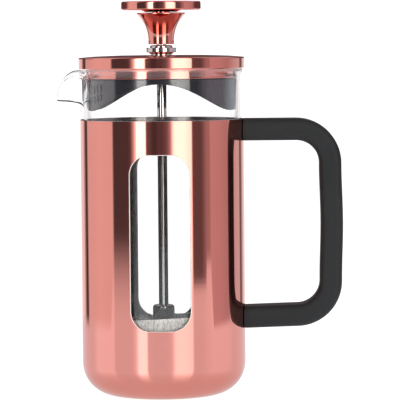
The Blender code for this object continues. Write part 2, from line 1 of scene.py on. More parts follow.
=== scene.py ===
"""Looks for the french press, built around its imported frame.

Units are metres and +Z is up. The press's axis is the Z axis, +X is the handle's side, -X the
spout's, and the camera looks from -Y. Every round piece is a surface of revolution whose
outline is worked out from the CAD nodes' boxes, with its small edge radii and exact normals.
"""

import math

import bpy
import numpy as np
from mathutils import Matrix, Vector


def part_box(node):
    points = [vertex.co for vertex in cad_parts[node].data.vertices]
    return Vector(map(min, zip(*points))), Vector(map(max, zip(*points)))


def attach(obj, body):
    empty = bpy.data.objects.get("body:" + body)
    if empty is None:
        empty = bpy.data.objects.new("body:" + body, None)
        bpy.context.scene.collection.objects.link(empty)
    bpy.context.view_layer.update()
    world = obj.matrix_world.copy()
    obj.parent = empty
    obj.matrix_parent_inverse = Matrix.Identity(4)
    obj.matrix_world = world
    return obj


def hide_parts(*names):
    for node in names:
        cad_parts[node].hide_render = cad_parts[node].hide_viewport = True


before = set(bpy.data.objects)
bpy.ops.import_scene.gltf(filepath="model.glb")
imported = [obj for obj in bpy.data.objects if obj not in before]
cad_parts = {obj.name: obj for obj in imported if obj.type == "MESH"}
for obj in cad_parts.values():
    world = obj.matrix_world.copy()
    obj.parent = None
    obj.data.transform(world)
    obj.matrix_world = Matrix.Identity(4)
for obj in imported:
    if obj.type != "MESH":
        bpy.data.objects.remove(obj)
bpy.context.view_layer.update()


# ---- Dimensions from the frame -----------------------------------------------------------

def reach(node):
    """Largest radius, lowest and highest height of a CAD node."""
    low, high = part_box(node)
    return max(high.x, high.y, -low.x, -low.y), low.z, high.z


GAP = 0.0003

BODY_RADIUS, BODY_BASE, BODY_TOP = reach("frame_shell")
BODY_WALL = 0.0006
BODY_CORNER = 0.4 * BODY_RADIUS
SHEET_EDGE = BODY_WALL / 2        # the sheet's edges are rounded over
WINDOW_BOTTOM = 0.0324
WINDOW_TOP = 0.111
WINDOW_HALF_ARC = math.asin(0.0135 / BODY_RADIUS)
WINDOW_CORNER = 0.009
WALL_LEVELS = (0.024, 0.118)      # extra edges of the mesh below and above the windows

SCREW_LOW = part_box("handle_screw_lower")
SCREW_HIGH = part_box("handle_screw_upper")
LOWER_SCREW_Z = (SCREW_LOW[0].z + SCREW_LOW[1].z) / 2
UPPER_SCREW_Z = (SCREW_HIGH[0].z + SCREW_HIGH[1].z) / 2
SCREW_HOLE = 0.0018

HANDLE_LOW, HANDLE_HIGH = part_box("handle")
HANDLE_WIDTH = HANDLE_HIGH.y - HANDLE_LOW.y
HANDLE_DEPTH = 2 * (HANDLE_HIGH.z - UPPER_SCREW_Z)
GRIP_BOW = 0.0006
GRIP_X = HANDLE_HIGH.x - HANDLE_DEPTH / 2 - GRIP_BOW
HANDLE_BEND = 0.0156
HANDLE_EDGE = 0.0030
HANDLE_GROOVE = 0.00008
HANDLE_FACE = BODY_RADIUS + GAP
LOWER_BEND_Z = LOWER_SCREW_Z + 0.0007

_, BEAKER_BASE, BEAKER_TOP = reach("beaker")
BEAKER_RADIUS = 0.0359
BEAKER_WALL = 0.0013
BEAKER_CORNER = BEAKER_RADIUS / 3
BEAKER_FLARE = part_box("beaker")[1].x - BEAKER_RADIUS
FLARE_HEIGHT = 0.004
SPOUT_TIP = -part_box("beaker")[0].x
SPOUT_REACH = SPOUT_TIP - BEAKER_RADIUS - BEAKER_FLARE
SPOUT_HALF_ANGLE = 26.5
SPOUT_DROP = 0.013
SPOUT_DIP_ANGLE = 8.6
SPOUT_LIP_HEIGHT = 0.0006
SPOUT_LIP_START = 0.35

LID_RADIUS, PLUG_BOTTOM, LID_TOP = reach("lid_shell")
LID_WALL = 0.0007
COLLAR_RADIUS, COLLAR_LOW, COLLAR_TOP = reach("strainer_collar")
COLLAR_WALL = 0.0017
COLLAR_TAPER = 0.0005
COLLAR_EDGE = 0.0004
COLLAR_SCALLOP = 0.0121
SCALLOP_HALF_ANGLE = 70.0
SLIT_COUNT = 19
SLIT_PITCH = 4.5
SLIT_WIDTH = 0.001
SLIT_ROWS = ((0.146, 0.477), (0.543, 0.800))
LEDGE_Z = BEAKER_TOP + GAP
SHOULDER_Z = PLUG_BOTTOM - GAP
SHOULDER_INNER_Z = SHOULDER_Z - 0.0014
COLLAR_LEAN = COLLAR_TAPER / (SHOULDER_Z - COLLAR_LOW)

ROD_RADIUS, ROD_LOW, ROD_HIGH = reach("plunger_rod")
NECK_TOP_RADIUS, NECK_LOW, NECK_HIGH = reach("knob_neck")
CAP_RADIUS, CAP_STUD, CAP_HIGH = reach("knob_cap")
HUB_RADIUS, HUB_LOW, HUB_HIGH = reach("filter_hub")
SCREEN_RADIUS, SCREEN_LOW, SCREEN_HIGH = reach("filter_screen")
INSERT_RADIUS, INSERT_LOW, INSERT_HIGH = reach("knob_insert")

CAMERA_AZIMUTH = math.radians(2.1)     # from -Y towards +X
CAMERA_DISTANCE = 1.217
CAMERA_HEIGHT = 0.1598
CAMERA_TURN = math.radians(-0.806)     # aimed a little past the rod, towards the handle
CAMERA_TILT = math.radians(-3.33)
CAMERA_ROLL = math.radians(0.5)
CAMERA_LENS = 238.8


# ---- Outlines in the (radius, height) plane ----------------------------------------------

def unit(x, z):
    size = math.hypot(x, z)
    return (x / size, z / size)


def mix(start, end, part):
    return start + (end - start) * part


def even(count):
    return [2 * math.pi * step / count for step in range(count)]


def swing(azimuth, out, height):
    """A point or direction of the (radius, height) plane, turned to an azimuth."""
    return (math.cos(azimuth) * out, math.sin(azimuth) * out, height)


def rounded(corners, steps=5):
    """Outline of a turned piece with rounded corners, as segments with exact normals.

    A corner is (radius, height, edge radius). They run so that the material is on the left.
    An outline that starts and ends on the axis stays open there. A segment is two ends,
    each a point and its outward normal.
    """
    last = len(corners) - 1
    is_open = corners[0][0] == corners[-1][0] == 0.0
    runs = [unit(there[0] - here[0], there[1] - here[1])
            for here, there in zip(corners, corners[1:] + corners[:1])]
    arcs = []
    for index, (x, z, edge) in enumerate(corners):
        before, after = runs[index - 1], runs[index]
        turn = math.atan2(before[0] * after[1] - before[1] * after[0],
                          before[0] * after[0] + before[1] * after[1])
        if edge <= 0.0 or abs(turn) < 1e-6 or (is_open and index in (0, last)):
            arcs.append([((x, z), None)])
            continue
        back = edge * math.tan(abs(turn) / 2)
        bulge = math.copysign(edge, turn)
        centre = (x - before[0] * back - bulge * before[1], z - before[1] * back + bulge * before[0])
        arc = []
        for step in range(steps + 1):
            angle = math.atan2(-before[0], before[1]) + turn * step / steps
            normal = (math.cos(angle), math.sin(angle))
            arc.append(((centre[0] + bulge * normal[0], centre[1] + bulge * normal[1]), normal))
        arcs.append(arc)
    segments = []
    for index, (arc, following) in enumerate(zip(arcs, arcs[1:] + arcs[:1])):
        segments += zip(arc, arc[1:])
        start, end = arc[-1][0], following[0][0]
        if math.dist(start, end) > 1e-9 and not (is_open and index == last):
            run = unit(end[0] - start[0], end[1] - start[1])
            normal = (run[1], -run[0])
            segments.append(((start, normal), (end, normal)))
    return segments


def sheet_corners(path, wall):
    """Corners of a bent sheet: path runs along its outer face with the metal on the left."""
    runs = [unit(end[0] - start[0], end[1] - start[1]) for start, end in zip(path, path[1:])]
    back = []
    for index, (x, z, edge) in enumerate(path):
        before = runs[max(index - 1, 0)]
        after = runs[min(index, len(runs) - 1)]
        mitre = unit(-before[1] - after[1], before[0] + after[0])
        length = wall / (mitre[0] * -before[1] + mitre[1] * before[0])
        turn = before[0] * after[1] - before[1] * after[0]
        inner_edge = 0.0
        if edge > 0.0:
            inner_edge = max(edge - wall, 0.0) if turn > 0 else edge + wall
        back.append((x + mitre[0] * length, z + mitre[1] * length, inner_edge))
    front = list(path)
    for side in (front, back):
        for end in (0, -1):
            side[end] = (*side[end][:2], 0.45 * wall)
    return front + back[::-1]


# ---- Meshes with a normal at every face corner -------------------------------------------

class Form:
    """Points and faces of one piece, with a normal for each corner of each face."""

    def __init__(self):
        self.points = []
        self.known = {}
        self.faces = []
        self.normals = []
        self.finishes = []

    def corner(self, spot, normal):
        """The point's number and its normal. Strips that meet share their points."""
        key = tuple(round(value, 7) + 0.0 for value in spot)
        if key not in self.known:
            self.known[key] = len(self.points)
            self.points.append(tuple(spot))
        return self.known[key], tuple(normal)

    def face(self, corners, finish=0):
        """Repeated points are left out, and the order follows the normals."""
        kept = {}
        for number, normal in corners:
            kept.setdefault(number, normal)
        if len(kept) < 3:
            return
        numbers = list(kept)
        start = Vector(self.points[numbers[0]])
        sides = [Vector(self.points[number]) - start for number in numbers[1:]]
        area = sum((one.cross(two) for one, two in zip(sides, sides[1:])), Vector())
        if area.dot(sum((Vector(normal) for normal in kept.values()), Vector())) < 0.0:
            numbers.reverse()
        self.faces.append(numbers)
        self.normals += [kept[number] for number in numbers]
        self.finishes.append(finish)

    def skin(self, columns, finish=0, is_ring=True, is_loop=False, is_gap=lambda column, row: False):
        """Faces between neighbouring columns. A ring's columns close round, and a loop's rows do."""
        count = len(columns)
        for index in range(count if is_ring else count - 1):
            here, there = columns[index], columns[(index + 1) % count]
            for row in range(len(here) if is_loop else len(here) - 1):
                above = (row + 1) % len(here)
                if not is_gap(index, row):
                    self.face([here[row], there[row], there[above], here[above]], finish)

    def make(self, name, materials):
        """The finished object."""
        mesh = bpy.data.meshes.new(name)
        mesh.from_pydata(self.points, [], self.faces)
        for finish in materials:
            mesh.materials.append(finish)
        mesh.polygons.foreach_set("material_index", self.finishes)
        mesh.shade_smooth()
        mesh.normals_split_custom_set(self.normals)
        mesh.validate()
        piece = bpy.data.objects.new(name, mesh)
        bpy.context.scene.collection.objects.link(piece)
        return piece


def turned(name, corners, material, facets=96, steps=5, place=Matrix.Identity(4)):
    """A round piece from its outline's corners. place moves it."""
    form = Form()
    turn = place.to_3x3()
    for segment in rounded(corners, steps):
        form.skin([[form.corner(place @ Vector(swing(azimuth, *spot)), turn @ Vector(swing(azimuth, *normal)))
                    for spot, normal in segment] for azimuth in even(facets)])
    return form.make(name, [material])


def grid_normals(grid):
    """Normals of a grid, columns round the axis and points along each, from its neighbours."""
    around = np.roll(grid, -1, axis=0) - np.roll(grid, 1, axis=0)
    along = np.empty_like(grid)
    along[:, 1:-1] = grid[:, 2:] - grid[:, :-2]
    along[:, 0] = grid[:, 1] - grid[:, 0]
    along[:, -1] = grid[:, -1] - grid[:, -2]
    normals = np.cross(around, along)
    size = np.linalg.norm(normals, axis=2, keepdims=True)
    return normals / np.maximum(size, 1e-12)


def lofted(name, grid, material, is_ring):
    """Object from a grid of outlines round the axis. A ring's outlines are closed loops."""
    form = Form()
    columns = [[form.corner(*pair) for pair in zip(spots, normals)]
               for spots, normals in zip(grid, grid_normals(grid))]
    form.skin(columns, is_loop=is_ring)
    if not is_ring:
        for row, up in ((0, -1.0), (-1, 1.0)):
            form.face([(column[row][0], (0.0, 0.0, up)) for column in columns])
    return form.make(name, [material])


# ---- Shader nodes ------------------------------------------------------------------------

class Nodes:
    """Short ways to add nodes to a tree. A value is a number, a colour, a socket or None."""

    def __init__(self, tree):
        self.tree = tree

    def put(self, value, socket):
        """Link or set one socket. None leaves it alone."""
        if isinstance(value, bpy.types.NodeSocket):
            self.tree.links.new(value, socket)
        elif value is not None:
            socket.default_value = value

    def node(self, kind, *values, **settings):
        """A node with its inputs filled in their order."""
        made = self.tree.nodes.new("ShaderNode" + kind)
        for key, value in settings.items():
            setattr(made, key, value)
        for socket, value in zip(made.inputs, values):
            self.put(value, socket)
        return made

    def math(self, operation, *values):
        return self.node("Math", *values, operation=operation).outputs[0]

    def blend(self, factor, first, second):
        """Colour that goes from first to second with the factor."""
        node = self.node("Mix", factor, data_type="RGBA")
        for socket, value in ((node.inputs[6], first), (node.inputs[7], second)):
            self.put((*value, 1.0) if isinstance(value, tuple) else value, socket)
        return node.outputs[2]

    def remap(self, value, low, high, start=0.3, end=0.7, kind="LINEAR"):
        """From low at start to high at end. The usual start and end are those of a noise."""
        return self.node("MapRange", value, start, end, low, high, interpolation_type=kind).outputs[0]


# ---- Materials ---------------------------------------------------------------------------

class Finish(Nodes):
    """A Principled material."""

    def __init__(self, name, colour, roughness, metallic=0.0, **settings):
        self.material = bpy.data.materials.new(name)
        self.material.use_nodes = True
        super().__init__(self.material.node_tree)
        self.sockets = self.tree.nodes["Principled BSDF"].inputs
        self.place = self.node("TexCoord").outputs["Object"]
        self.put((*colour, 1.0), self.sockets["Base Color"])
        self.put(roughness, self.sockets["Roughness"])
        self.put(metallic, self.sockets["Metallic"])
        for socket, value in settings.items():
            self.put(value, self.sockets[socket.replace("_", " ")])

    def noise(self, scale, detail, stretch=(1.0, 1.0, 1.0), roughness=0.5):
        mapped = self.node("Mapping", self.place, None, None, stretch).outputs["Vector"]
        node = self.node("TexNoise", mapped)
        for socket, value in (("Scale", scale), ("Detail", detail), ("Roughness", roughness)):
            self.put(value, node.inputs[socket])
        return node.outputs["Fac"]

    def surface(self, colour, roughness, height, depth):
        """Fill the sockets. A colour of None stays plain."""
        self.put(colour, self.sockets["Base Color"])
        self.put(roughness, self.sockets["Roughness"])
        bump = self.node("Bump")
        for socket, value in (("Distance", depth), ("Strength", 1.0), ("Height", height)):
            self.put(value, bump.inputs[socket])
        self.put(bump.outputs["Normal"], self.sockets["Normal"])
        return self.material


def grained(name, colours, rough, grain, depth, patches=None, haze=0.0, metallic=0.0, **settings):
    """A material whose roughness and bump follow its grain, and its colour its patches.

    The grain and patches are a noise's scale, detail, stretch and roughness. Without patches the
    colour follows the grain too. haze is what the patches add to the roughness.
    """
    finish = Finish(name, colours[0], rough[0], metallic, **settings)
    fine = finish.noise(*grain)
    coarse = finish.noise(*patches) if patches else fine
    roughness = finish.remap(fine, *rough)
    if haze > 0.0:
        roughness = finish.math("ADD", roughness, finish.remap(coarse, 0.0, haze))
    return finish.surface(finish.blend(finish.remap(coarse, 0.0, 1.0), *colours), roughness, fine, depth)


def copper():
    """Polished copper plate: a mirror with faint polishing lines that run round the axis."""
    return grained("copper_plate", ((0.87, 0.345, 0.285), (0.85, 0.325, 0.265)), (0.03, 0.06),
                   (900.0, 2.0, (0.04, 0.04, 6.0)), 0.0000012, (38.0, 3.0), 0.02, metallic=1.0)


def inner_steel():
    """Bare drawn steel on the inside of the frame, with fine vertical draw lines."""
    return grained("drawn_steel", ((0.52, 0.51, 0.49), (0.44, 0.43, 0.42)), (0.2, 0.28),
                   (700.0, 3.0, (1.0, 1.0, 0.04)), 0.0000006, (55.0, 2.0), metallic=1.0)


def bright_steel():
    """Polished steel of the rod, bush and hub, turned on a lathe."""
    return grained("bright_steel", ((0.74, 0.72, 0.70), (0.66, 0.64, 0.62)), (0.07, 0.11),
                   (1500.0, 2.0, (0.05, 0.05, 1.0)), 0.00000015, (120.0, 2.0), metallic=1.0)


def moulded_black():
    """Matte black handle with a fine spark-eroded grain."""
    return grained("moulded_black", ((0.011, 0.0125, 0.014), (0.016, 0.0175, 0.019)), (0.46, 0.58),
                   (2600.0, 3.0, (1.0, 1.0, 1.0), 0.6), 0.00002, (45.0, 2.0), 0.06, Specular_IOR_Level=0.34)


def gloss_black():
    """Glossy dark collar with faint flow marks."""
    return grained("gloss_black", ((0.015, 0.017, 0.022), (0.022, 0.024, 0.030)), (0.09, 0.17),
                   (90.0, 3.0, (1.0, 1.0, 0.35)), 0.000015, IOR=1.62)


def cut_edge():
    """Bright rounded edge of the frame's sheet, faintly marked by the trimming tool."""
    return grained("cut_edge", ((0.97, 0.88, 0.80), (0.88, 0.77, 0.69)), (0.32, 0.5),
                   (800.0, 2.0), 0.000003, metallic=0.5)


def pressed_steel():
    """Stamped stainless plates and spring wire of the filter."""
    return grained("pressed_steel", ((0.64, 0.64, 0.63), (0.55, 0.55, 0.54)), (0.18, 0.36),
                   (300.0, 4.0, (1.0, 0.2, 1.0)), 0.000004, metallic=1.0)


def turned_brass():
    """Brass of the threaded inserts, with rings from the lathe."""
    return grained("turned_brass", ((0.72, 0.52, 0.24), (0.60, 0.41, 0.17)), (0.2, 0.36),
                   (900.0, 2.0, (3.0, 0.1, 0.1)), 0.000003, metallic=1.0)


def soft_rubber():
    """Dull rubber of the seat ring."""
    return grained("soft_rubber", ((0.026, 0.026, 0.026), (0.04, 0.04, 0.04)), (0.62, 0.8),
                   (1200.0, 3.0), 0.00002)


def clear_glass():
    """Fire-polished glass with very slight waves, a grey tint along its edges and a matt rim."""
    finish = Finish("clear_glass", (1.0, 1.0, 1.0), 0.0, IOR=1.46, Transmission_Weight=1.0)
    waves = finish.noise(60.0, 2.0)
    height = finish.node("SeparateXYZ", finish.place).outputs["Z"]
    rim = finish.remap(height, 0.0, 0.4, BEAKER_TOP - 0.0010, BEAKER_TOP - 0.0005)
    absorb = finish.node("VolumeAbsorption", (0.77, 0.80, 0.80, 1.0), 12.0).outputs["Volume"]
    finish.put(absorb, finish.tree.nodes["Material Output"].inputs["Volume"])
    return finish.surface(None, finish.math("ADD", finish.remap(waves, 0.0, 0.012), rim), waves, 0.00003)


def woven_mesh():
    """Fine woven steel mesh: two crossing sets of wires in its bump, and a colour of random speckles that go
    from dull steel to a near-white painted glint.
    """
    dull, painted_glint = (0.60, 0.58, 0.54), (1.0, 0.97, 0.91)
    finish = Finish("woven_mesh", dull, 0.55, 0.35)
    pitch = 0.0003
    wires = []
    for way in ("X", "Y"):
        wave = finish.node("TexWave", finish.place, 2 * math.pi / pitch / 20.0, wave_type="BANDS",
                           bands_direction=way)
        wires.append(wave.outputs["Fac"])
    speckle = finish.noise(1500.0, 1.0, (1.0, 1.0, 0.4))
    # Painted glint: random speckles of near-white colour stand in for light glinting off the wires.
    colour = finish.blend(finish.remap(speckle, 0.0, 1.0, 0.35, 0.65), dull, painted_glint)
    weave = finish.math("ADD", finish.math("MAXIMUM", *wires), speckle)
    return finish.surface(colour, finish.remap(speckle, 0.45, 0.65), weave, 0.00006)


COPPER = copper()
INNER_STEEL = inner_steel()
CUT_EDGE = cut_edge()
BRIGHT_STEEL = bright_steel()
MOULDED_BLACK = moulded_black()
GLOSS_BLACK = gloss_black()
CLEAR_GLASS = clear_glass()
WOVEN_MESH = woven_mesh()
PRESSED_STEEL = pressed_steel()
TURNED_BRASS = turned_brass()
SOFT_RUBBER = soft_rubber()


def settle(piece, node, body):
    """Put a finished piece in the place of its CAD node."""
    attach(piece, body)
    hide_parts(node)


# ---- Frame shell -------------------------------------------------------------------------

class Opening:
    """A round-cornered opening in the frame's wall, in arc length and height.

    It is grown by the radius of the sheet's rounded edge, which stands inside it.
    """

    def __init__(self, azimuth, low, high, half_width, corner):
        self.azimuth = azimuth
        self.low = low - SHEET_EDGE
        self.high = high + SHEET_EDGE
        self.half = half_width + SHEET_EDGE
        self.corner = corner + SHEET_EDGE

    def offset(self, azimuth):
        """Arc length from the opening's middle."""
        turn = (azimuth - self.azimuth + math.pi) % (2 * math.pi) - math.pi
        return turn * BODY_RADIUS

    def has(self, azimuth):
        return abs(self.offset(azimuth)) <= self.half + 1e-7

    def beyond(self, azimuth):
        """How far an azimuth lies in the opening's rounded corners, in arc length."""
        past = abs(self.offset(azimuth)) - (self.half - self.corner)
        return min(max(past, 0.0), self.corner)

    def bounds(self, azimuth):
        inset = self.corner - math.sqrt(self.corner ** 2 - self.beyond(azimuth) ** 2)
        return self.low + inset, self.high - inset

    def corner_azimuths(self, steps):
        angles = [math.pi / 2 * step / steps for step in range(steps + 1)]
        offsets = [self.half - self.corner + self.corner * math.sin(angle) for angle in angles]
        return [self.azimuth + side * offset / BODY_RADIUS for offset in offsets for side in (-1, 1)]

    def loop(self, azimuths):
        """Points round the opening and the way into it: (azimuth, height, sideways, up)."""
        lower, upper = [], []
        for azimuth in sorted(filter(self.has, azimuths), key=self.offset):
            low, high = self.bounds(azimuth)
            sideways = -math.copysign(self.beyond(azimuth) / self.corner, self.offset(azimuth))
            up = math.sqrt(1.0 - sideways ** 2)
            lower.append((azimuth, low, sideways, up))
            upper.append((azimuth, high, sideways, -up))
        return lower + upper[::-1]


WINDOWS = [Opening(azimuth, WINDOW_BOTTOM, WINDOW_TOP, WINDOW_HALF_ARC * BODY_RADIUS, WINDOW_CORNER)
           for azimuth in (-math.pi / 2, math.pi / 2)]
HOLES = [Opening(0.0, height - SCREW_HOLE, height + SCREW_HOLE, SCREW_HOLE, SCREW_HOLE)
         for height in (LOWER_SCREW_Z, UPPER_SCREW_Z)]


def frame_levels(azimuth):
    """Four heights on the wall at an azimuth, which pass along the edges of the openings."""
    for window in WINDOWS:
        if window.has(azimuth):
            return (WALL_LEVELS[0], *window.bounds(azimuth), WALL_LEVELS[1])
    if HOLES[0].has(azimuth):
        return (*HOLES[0].bounds(azimuth), *HOLES[1].bounds(azimuth))
    return (HOLES[0].low, HOLES[0].high, HOLES[1].low, HOLES[1].high)


def frame_azimuths():
    """Even azimuths, apart from the openings' sides, and those of the openings' corners."""
    azimuths = even(180)
    for opening in WINDOWS + HOLES:
        clear = math.radians(0.4) * BODY_RADIUS
        azimuths = [azimuth for azimuth in azimuths
                    if abs(abs(opening.offset(azimuth)) - opening.half) > clear]
    for opening, steps in ((WINDOWS[0], 14), (WINDOWS[1], 14), (HOLES[0], 6)):
        azimuths += [azimuth % (2 * math.pi) for azimuth in opening.corner_azimuths(steps)]
    azimuths.sort()
    return azimuths[:1] + [there for here, there in zip(azimuths, azimuths[1:]) if there - here > 1e-6]


def frame_skin(form, azimuths, inset, facing, finish):
    """One face of the floor, corner and wall. facing is 1 outside and -1 inside."""
    radius, corner, base = BODY_RADIUS - inset, BODY_CORNER - inset, BODY_BASE + inset
    steps = 14
    columns = []
    for azimuth in azimuths:
        column = [form.corner((0.0, 0.0, base), (0.0, 0.0, -facing))]
        for step in range(steps + 1):
            angle = math.pi / 2 * step / steps
            out, down = math.sin(angle), math.cos(angle)
            spot = (radius - corner + corner * out, base + corner - corner * down)
            column.append(form.corner(swing(azimuth, *spot), swing(azimuth, facing * out, -facing * down)))
        for height in (*frame_levels(azimuth), BODY_TOP - SHEET_EDGE):
            column.append(form.corner(swing(azimuth, radius, height), swing(azimuth, facing, 0.0)))
        columns.append(column)
    gaps = {steps + 2: HOLES[:1], steps + 3: WINDOWS, steps + 4: HOLES[1:]}
    following = azimuths[1:] + azimuths[:1]

    def is_gap(index, row):
        return any(gap.has(azimuths[index]) and gap.has(following[index]) for gap in gaps.get(row, ()))

    form.skin(columns, finish, is_gap=is_gap)


def round_edge(form, loop, finish, steps=6):
    """Half-round strip along a closed edge. The loop is as an opening gives it."""
    rings = []
    for azimuth, height, sideways, up in loop:
        ring = []
        for step in range(steps + 1):
            out, into = math.cos(math.pi * step / steps), math.sin(math.pi * step / steps)
            spot = swing(azimuth + sideways * into * SHEET_EDGE / BODY_RADIUS,
                         BODY_RADIUS - SHEET_EDGE + SHEET_EDGE * out, height + up * into * SHEET_EDGE)
            normal = Vector(swing(azimuth, out, up * into))
            normal += Vector(swing(azimuth + math.pi / 2, sideways * into, 0.0))
            ring.append(form.corner(spot, normal.normalized()))
        rings.append(ring)
    form.skin(rings, finish)


def make_frame_shell():
    azimuths = frame_azimuths()
    form = Form()
    frame_skin(form, azimuths, 0.0, 1.0, 0)
    frame_skin(form, azimuths, BODY_WALL, -1.0, 1)
    round_edge(form, [(azimuth, BODY_TOP - SHEET_EDGE, 0.0, 1.0) for azimuth in azimuths], 1)
    for opening in WINDOWS + HOLES:
        round_edge(form, opening.loop(azimuths), 2)
    piece = form.make("frame_shell_skin", [COPPER, INNER_STEEL, CUT_EDGE])
    settle(piece, "frame_shell", "frame")


# ---- Handle ------------------------------------------------------------------------------

def handle_path():
    """Centreline of the D as (x, z), from the upper end to the lower."""
    bend_x = GRIP_X - HANDLE_BEND
    upper_z = UPPER_SCREW_Z - HANDLE_BEND
    lower_z = LOWER_BEND_Z + HANDLE_BEND
    arm_x = mix(HANDLE_FACE, bend_x, 0.5)
    bend = [(HANDLE_BEND * math.cos(angle), HANDLE_BEND * math.sin(angle))
            for angle in (math.pi / 2 * step / 20 for step in range(21))]
    path = [(HANDLE_FACE, UPPER_SCREW_Z), (HANDLE_FACE + 0.001, UPPER_SCREW_Z), (arm_x, UPPER_SCREW_Z)]
    path += [(bend_x + out, upper_z + up) for out, up in bend[::-1]]
    for part in (step / 16 for step in range(1, 16)):
        path.append((GRIP_X + GRIP_BOW * math.sin(math.pi * part) ** 2, mix(upper_z, lower_z, part)))
    path += [(bend_x + out, lower_z - down) for out, down in bend]
    return path + [(arm_x, mix(LOWER_SCREW_Z, LOWER_BEND_Z, 0.5)), (HANDLE_FACE + 0.001, LOWER_SCREW_Z),
                   (HANDLE_FACE, LOWER_SCREW_Z)]


def handle_section():
    """Rounded section with a fine parting line at its middle: (outward, sideways) and normals."""
    outward = HANDLE_DEPTH / 2 - HANDLE_EDGE
    sideways = HANDLE_WIDTH / 2 - HANDLE_EDGE
    parting = ((-1.6, 0.0, 0.0), (-0.8, 0.0, 0.5), (0.0, 1.0, 0.0), (0.8, 0.0, -0.5), (1.6, 0.0, 0.0))
    steps = 8
    points = []
    for quarter, (out_way, side_way) in enumerate(((1, 1), (-1, 1), (-1, -1), (1, -1))):
        for step in range(steps + 1):
            angle = math.pi / 2 * (quarter + step / steps)
            normal = (math.cos(angle), math.sin(angle))
            points.append(((out_way * outward + HANDLE_EDGE * normal[0],
                            side_way * sideways + HANDLE_EDGE * normal[1]), normal))
        for side, depth, lean in parting if quarter in (1, 3) else ():
            points.append(((out_way * (HANDLE_DEPTH / 2 - depth * HANDLE_GROOVE),
                            out_way * side * HANDLE_GROOVE), unit(out_way, -out_way * lean)))
    return points


def make_handle():
    path = handle_path()
    form = Form()
    loops = []
    for index, (x, z) in enumerate(path):
        before = path[max(index - 1, 0)]
        after = path[min(index + 1, len(path) - 1)]
        run = unit(after[0] - before[0], after[1] - before[1])
        out_way = Vector((-run[1], 0.0, run[0]))
        loop = []
        for (out, side), (normal_out, normal_side) in handle_section():
            spot = Vector((x, side, z)) + out_way * out
            if index in (0, len(path) - 1):
                spot.x = math.sqrt(HANDLE_FACE ** 2 - side ** 2)
            normal = out_way * normal_out + Vector((0.0, normal_side, 0.0))
            loop.append(form.corner(spot, normal.normalized()))
        loops.append(loop)
    form.skin(loops, is_ring=False, is_loop=True)
    for end in (0, -1):
        hollow_end(form, [number for number, _ in loops[end]])
    settle(form.make("handle_moulding", [MOULDED_BLACK]), "handle", "frame")


def hollow_end(form, numbers):
    """Close an end that is hollowed to fit the round frame, in strips along the axis."""
    spots = form.points
    numbers = sorted(numbers, key=lambda number: spots[number][1])
    middle = sum(spots[number][2] for number in numbers) / len(numbers)
    over = [number for number in numbers if spots[number][2] > middle]
    under = [number for number in numbers if spots[number][2] <= middle]
    for strip in zip(over, over[1:], under[1:], under):
        form.face([(number, (*unit(-spots[number][0], -spots[number][1]), 0.0)) for number in strip])


def lying(node):
    """Radius and length of a screw or insert, and the matrix that lays its axis along +X."""
    low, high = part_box(node)
    place = Matrix.Rotation(math.radians(90), 4, "Y")
    place.translation = Vector((low.x, 0.0, (low.z + high.z) / 2))
    return (high.z - low.z) / 2, high.x - low.x, place


def make_handle_screw(name):
    node = "handle_screw_" + name
    head, length, place = lying(node)
    shank, thick, pitch, root = 0.0015, 0.0005, 0.0005, 0.0002
    thread_start = thick + 0.001
    outline = [(0.0, 0.0, 0.0), (0.0007, 0.0, 0.0), (0.0011, 0.0001, 0.0), (head, 0.0, 0.00015),
               (head, thick, 0.00005), (shank, thick, 0.0)]
    for turn in range(int((length - 0.002) / pitch)):
        start = thread_start + turn * pitch
        outline += [(shank - root, start, 0.0), (shank, start + pitch / 2, 0.0)]
    outline += [(shank - 0.0003, length, 0.0), (0.0, length, 0.0)]
    settle(turned(f"screw_{name}", outline, BRIGHT_STEEL, 40, 3, place), node, "frame")


def make_handle_insert(name):
    node = "handle_insert_" + name
    radius, length, place = lying(node)
    bore, depth, flank = 0.0016, 0.0004, 0.0003
    outline = [(bore, 0.0, 0.0001), (radius, 0.0, 0.0002)]
    for middle in (0.35 * length, 0.65 * length):
        outline += [(radius, middle - 2 * flank, 0.0001), (radius - depth, middle - flank, 0.0),
                    (radius - depth, middle + flank, 0.0), (radius, middle + 2 * flank, 0.0001)]
    outline += [(radius, length, 0.0002), (bore, length, 0.0001)]
    settle(turned(f"insert_{name}", outline, TURNED_BRASS, 48, 3, place), node, "frame")


def make_seat_ring():
    outer, low, high = reach("seat_ring")
    inner = 0.7 * outer
    outline = [(inner, low, 0.0004), (outer, low, 0.0004), (outer, high, 0.0005), (inner, high, 0.0005)]
    settle(turned("seat_ring_rubber", outline, SOFT_RUBBER), "seat_ring", "frame")


# ---- Beaker ------------------------------------------------------------------------------

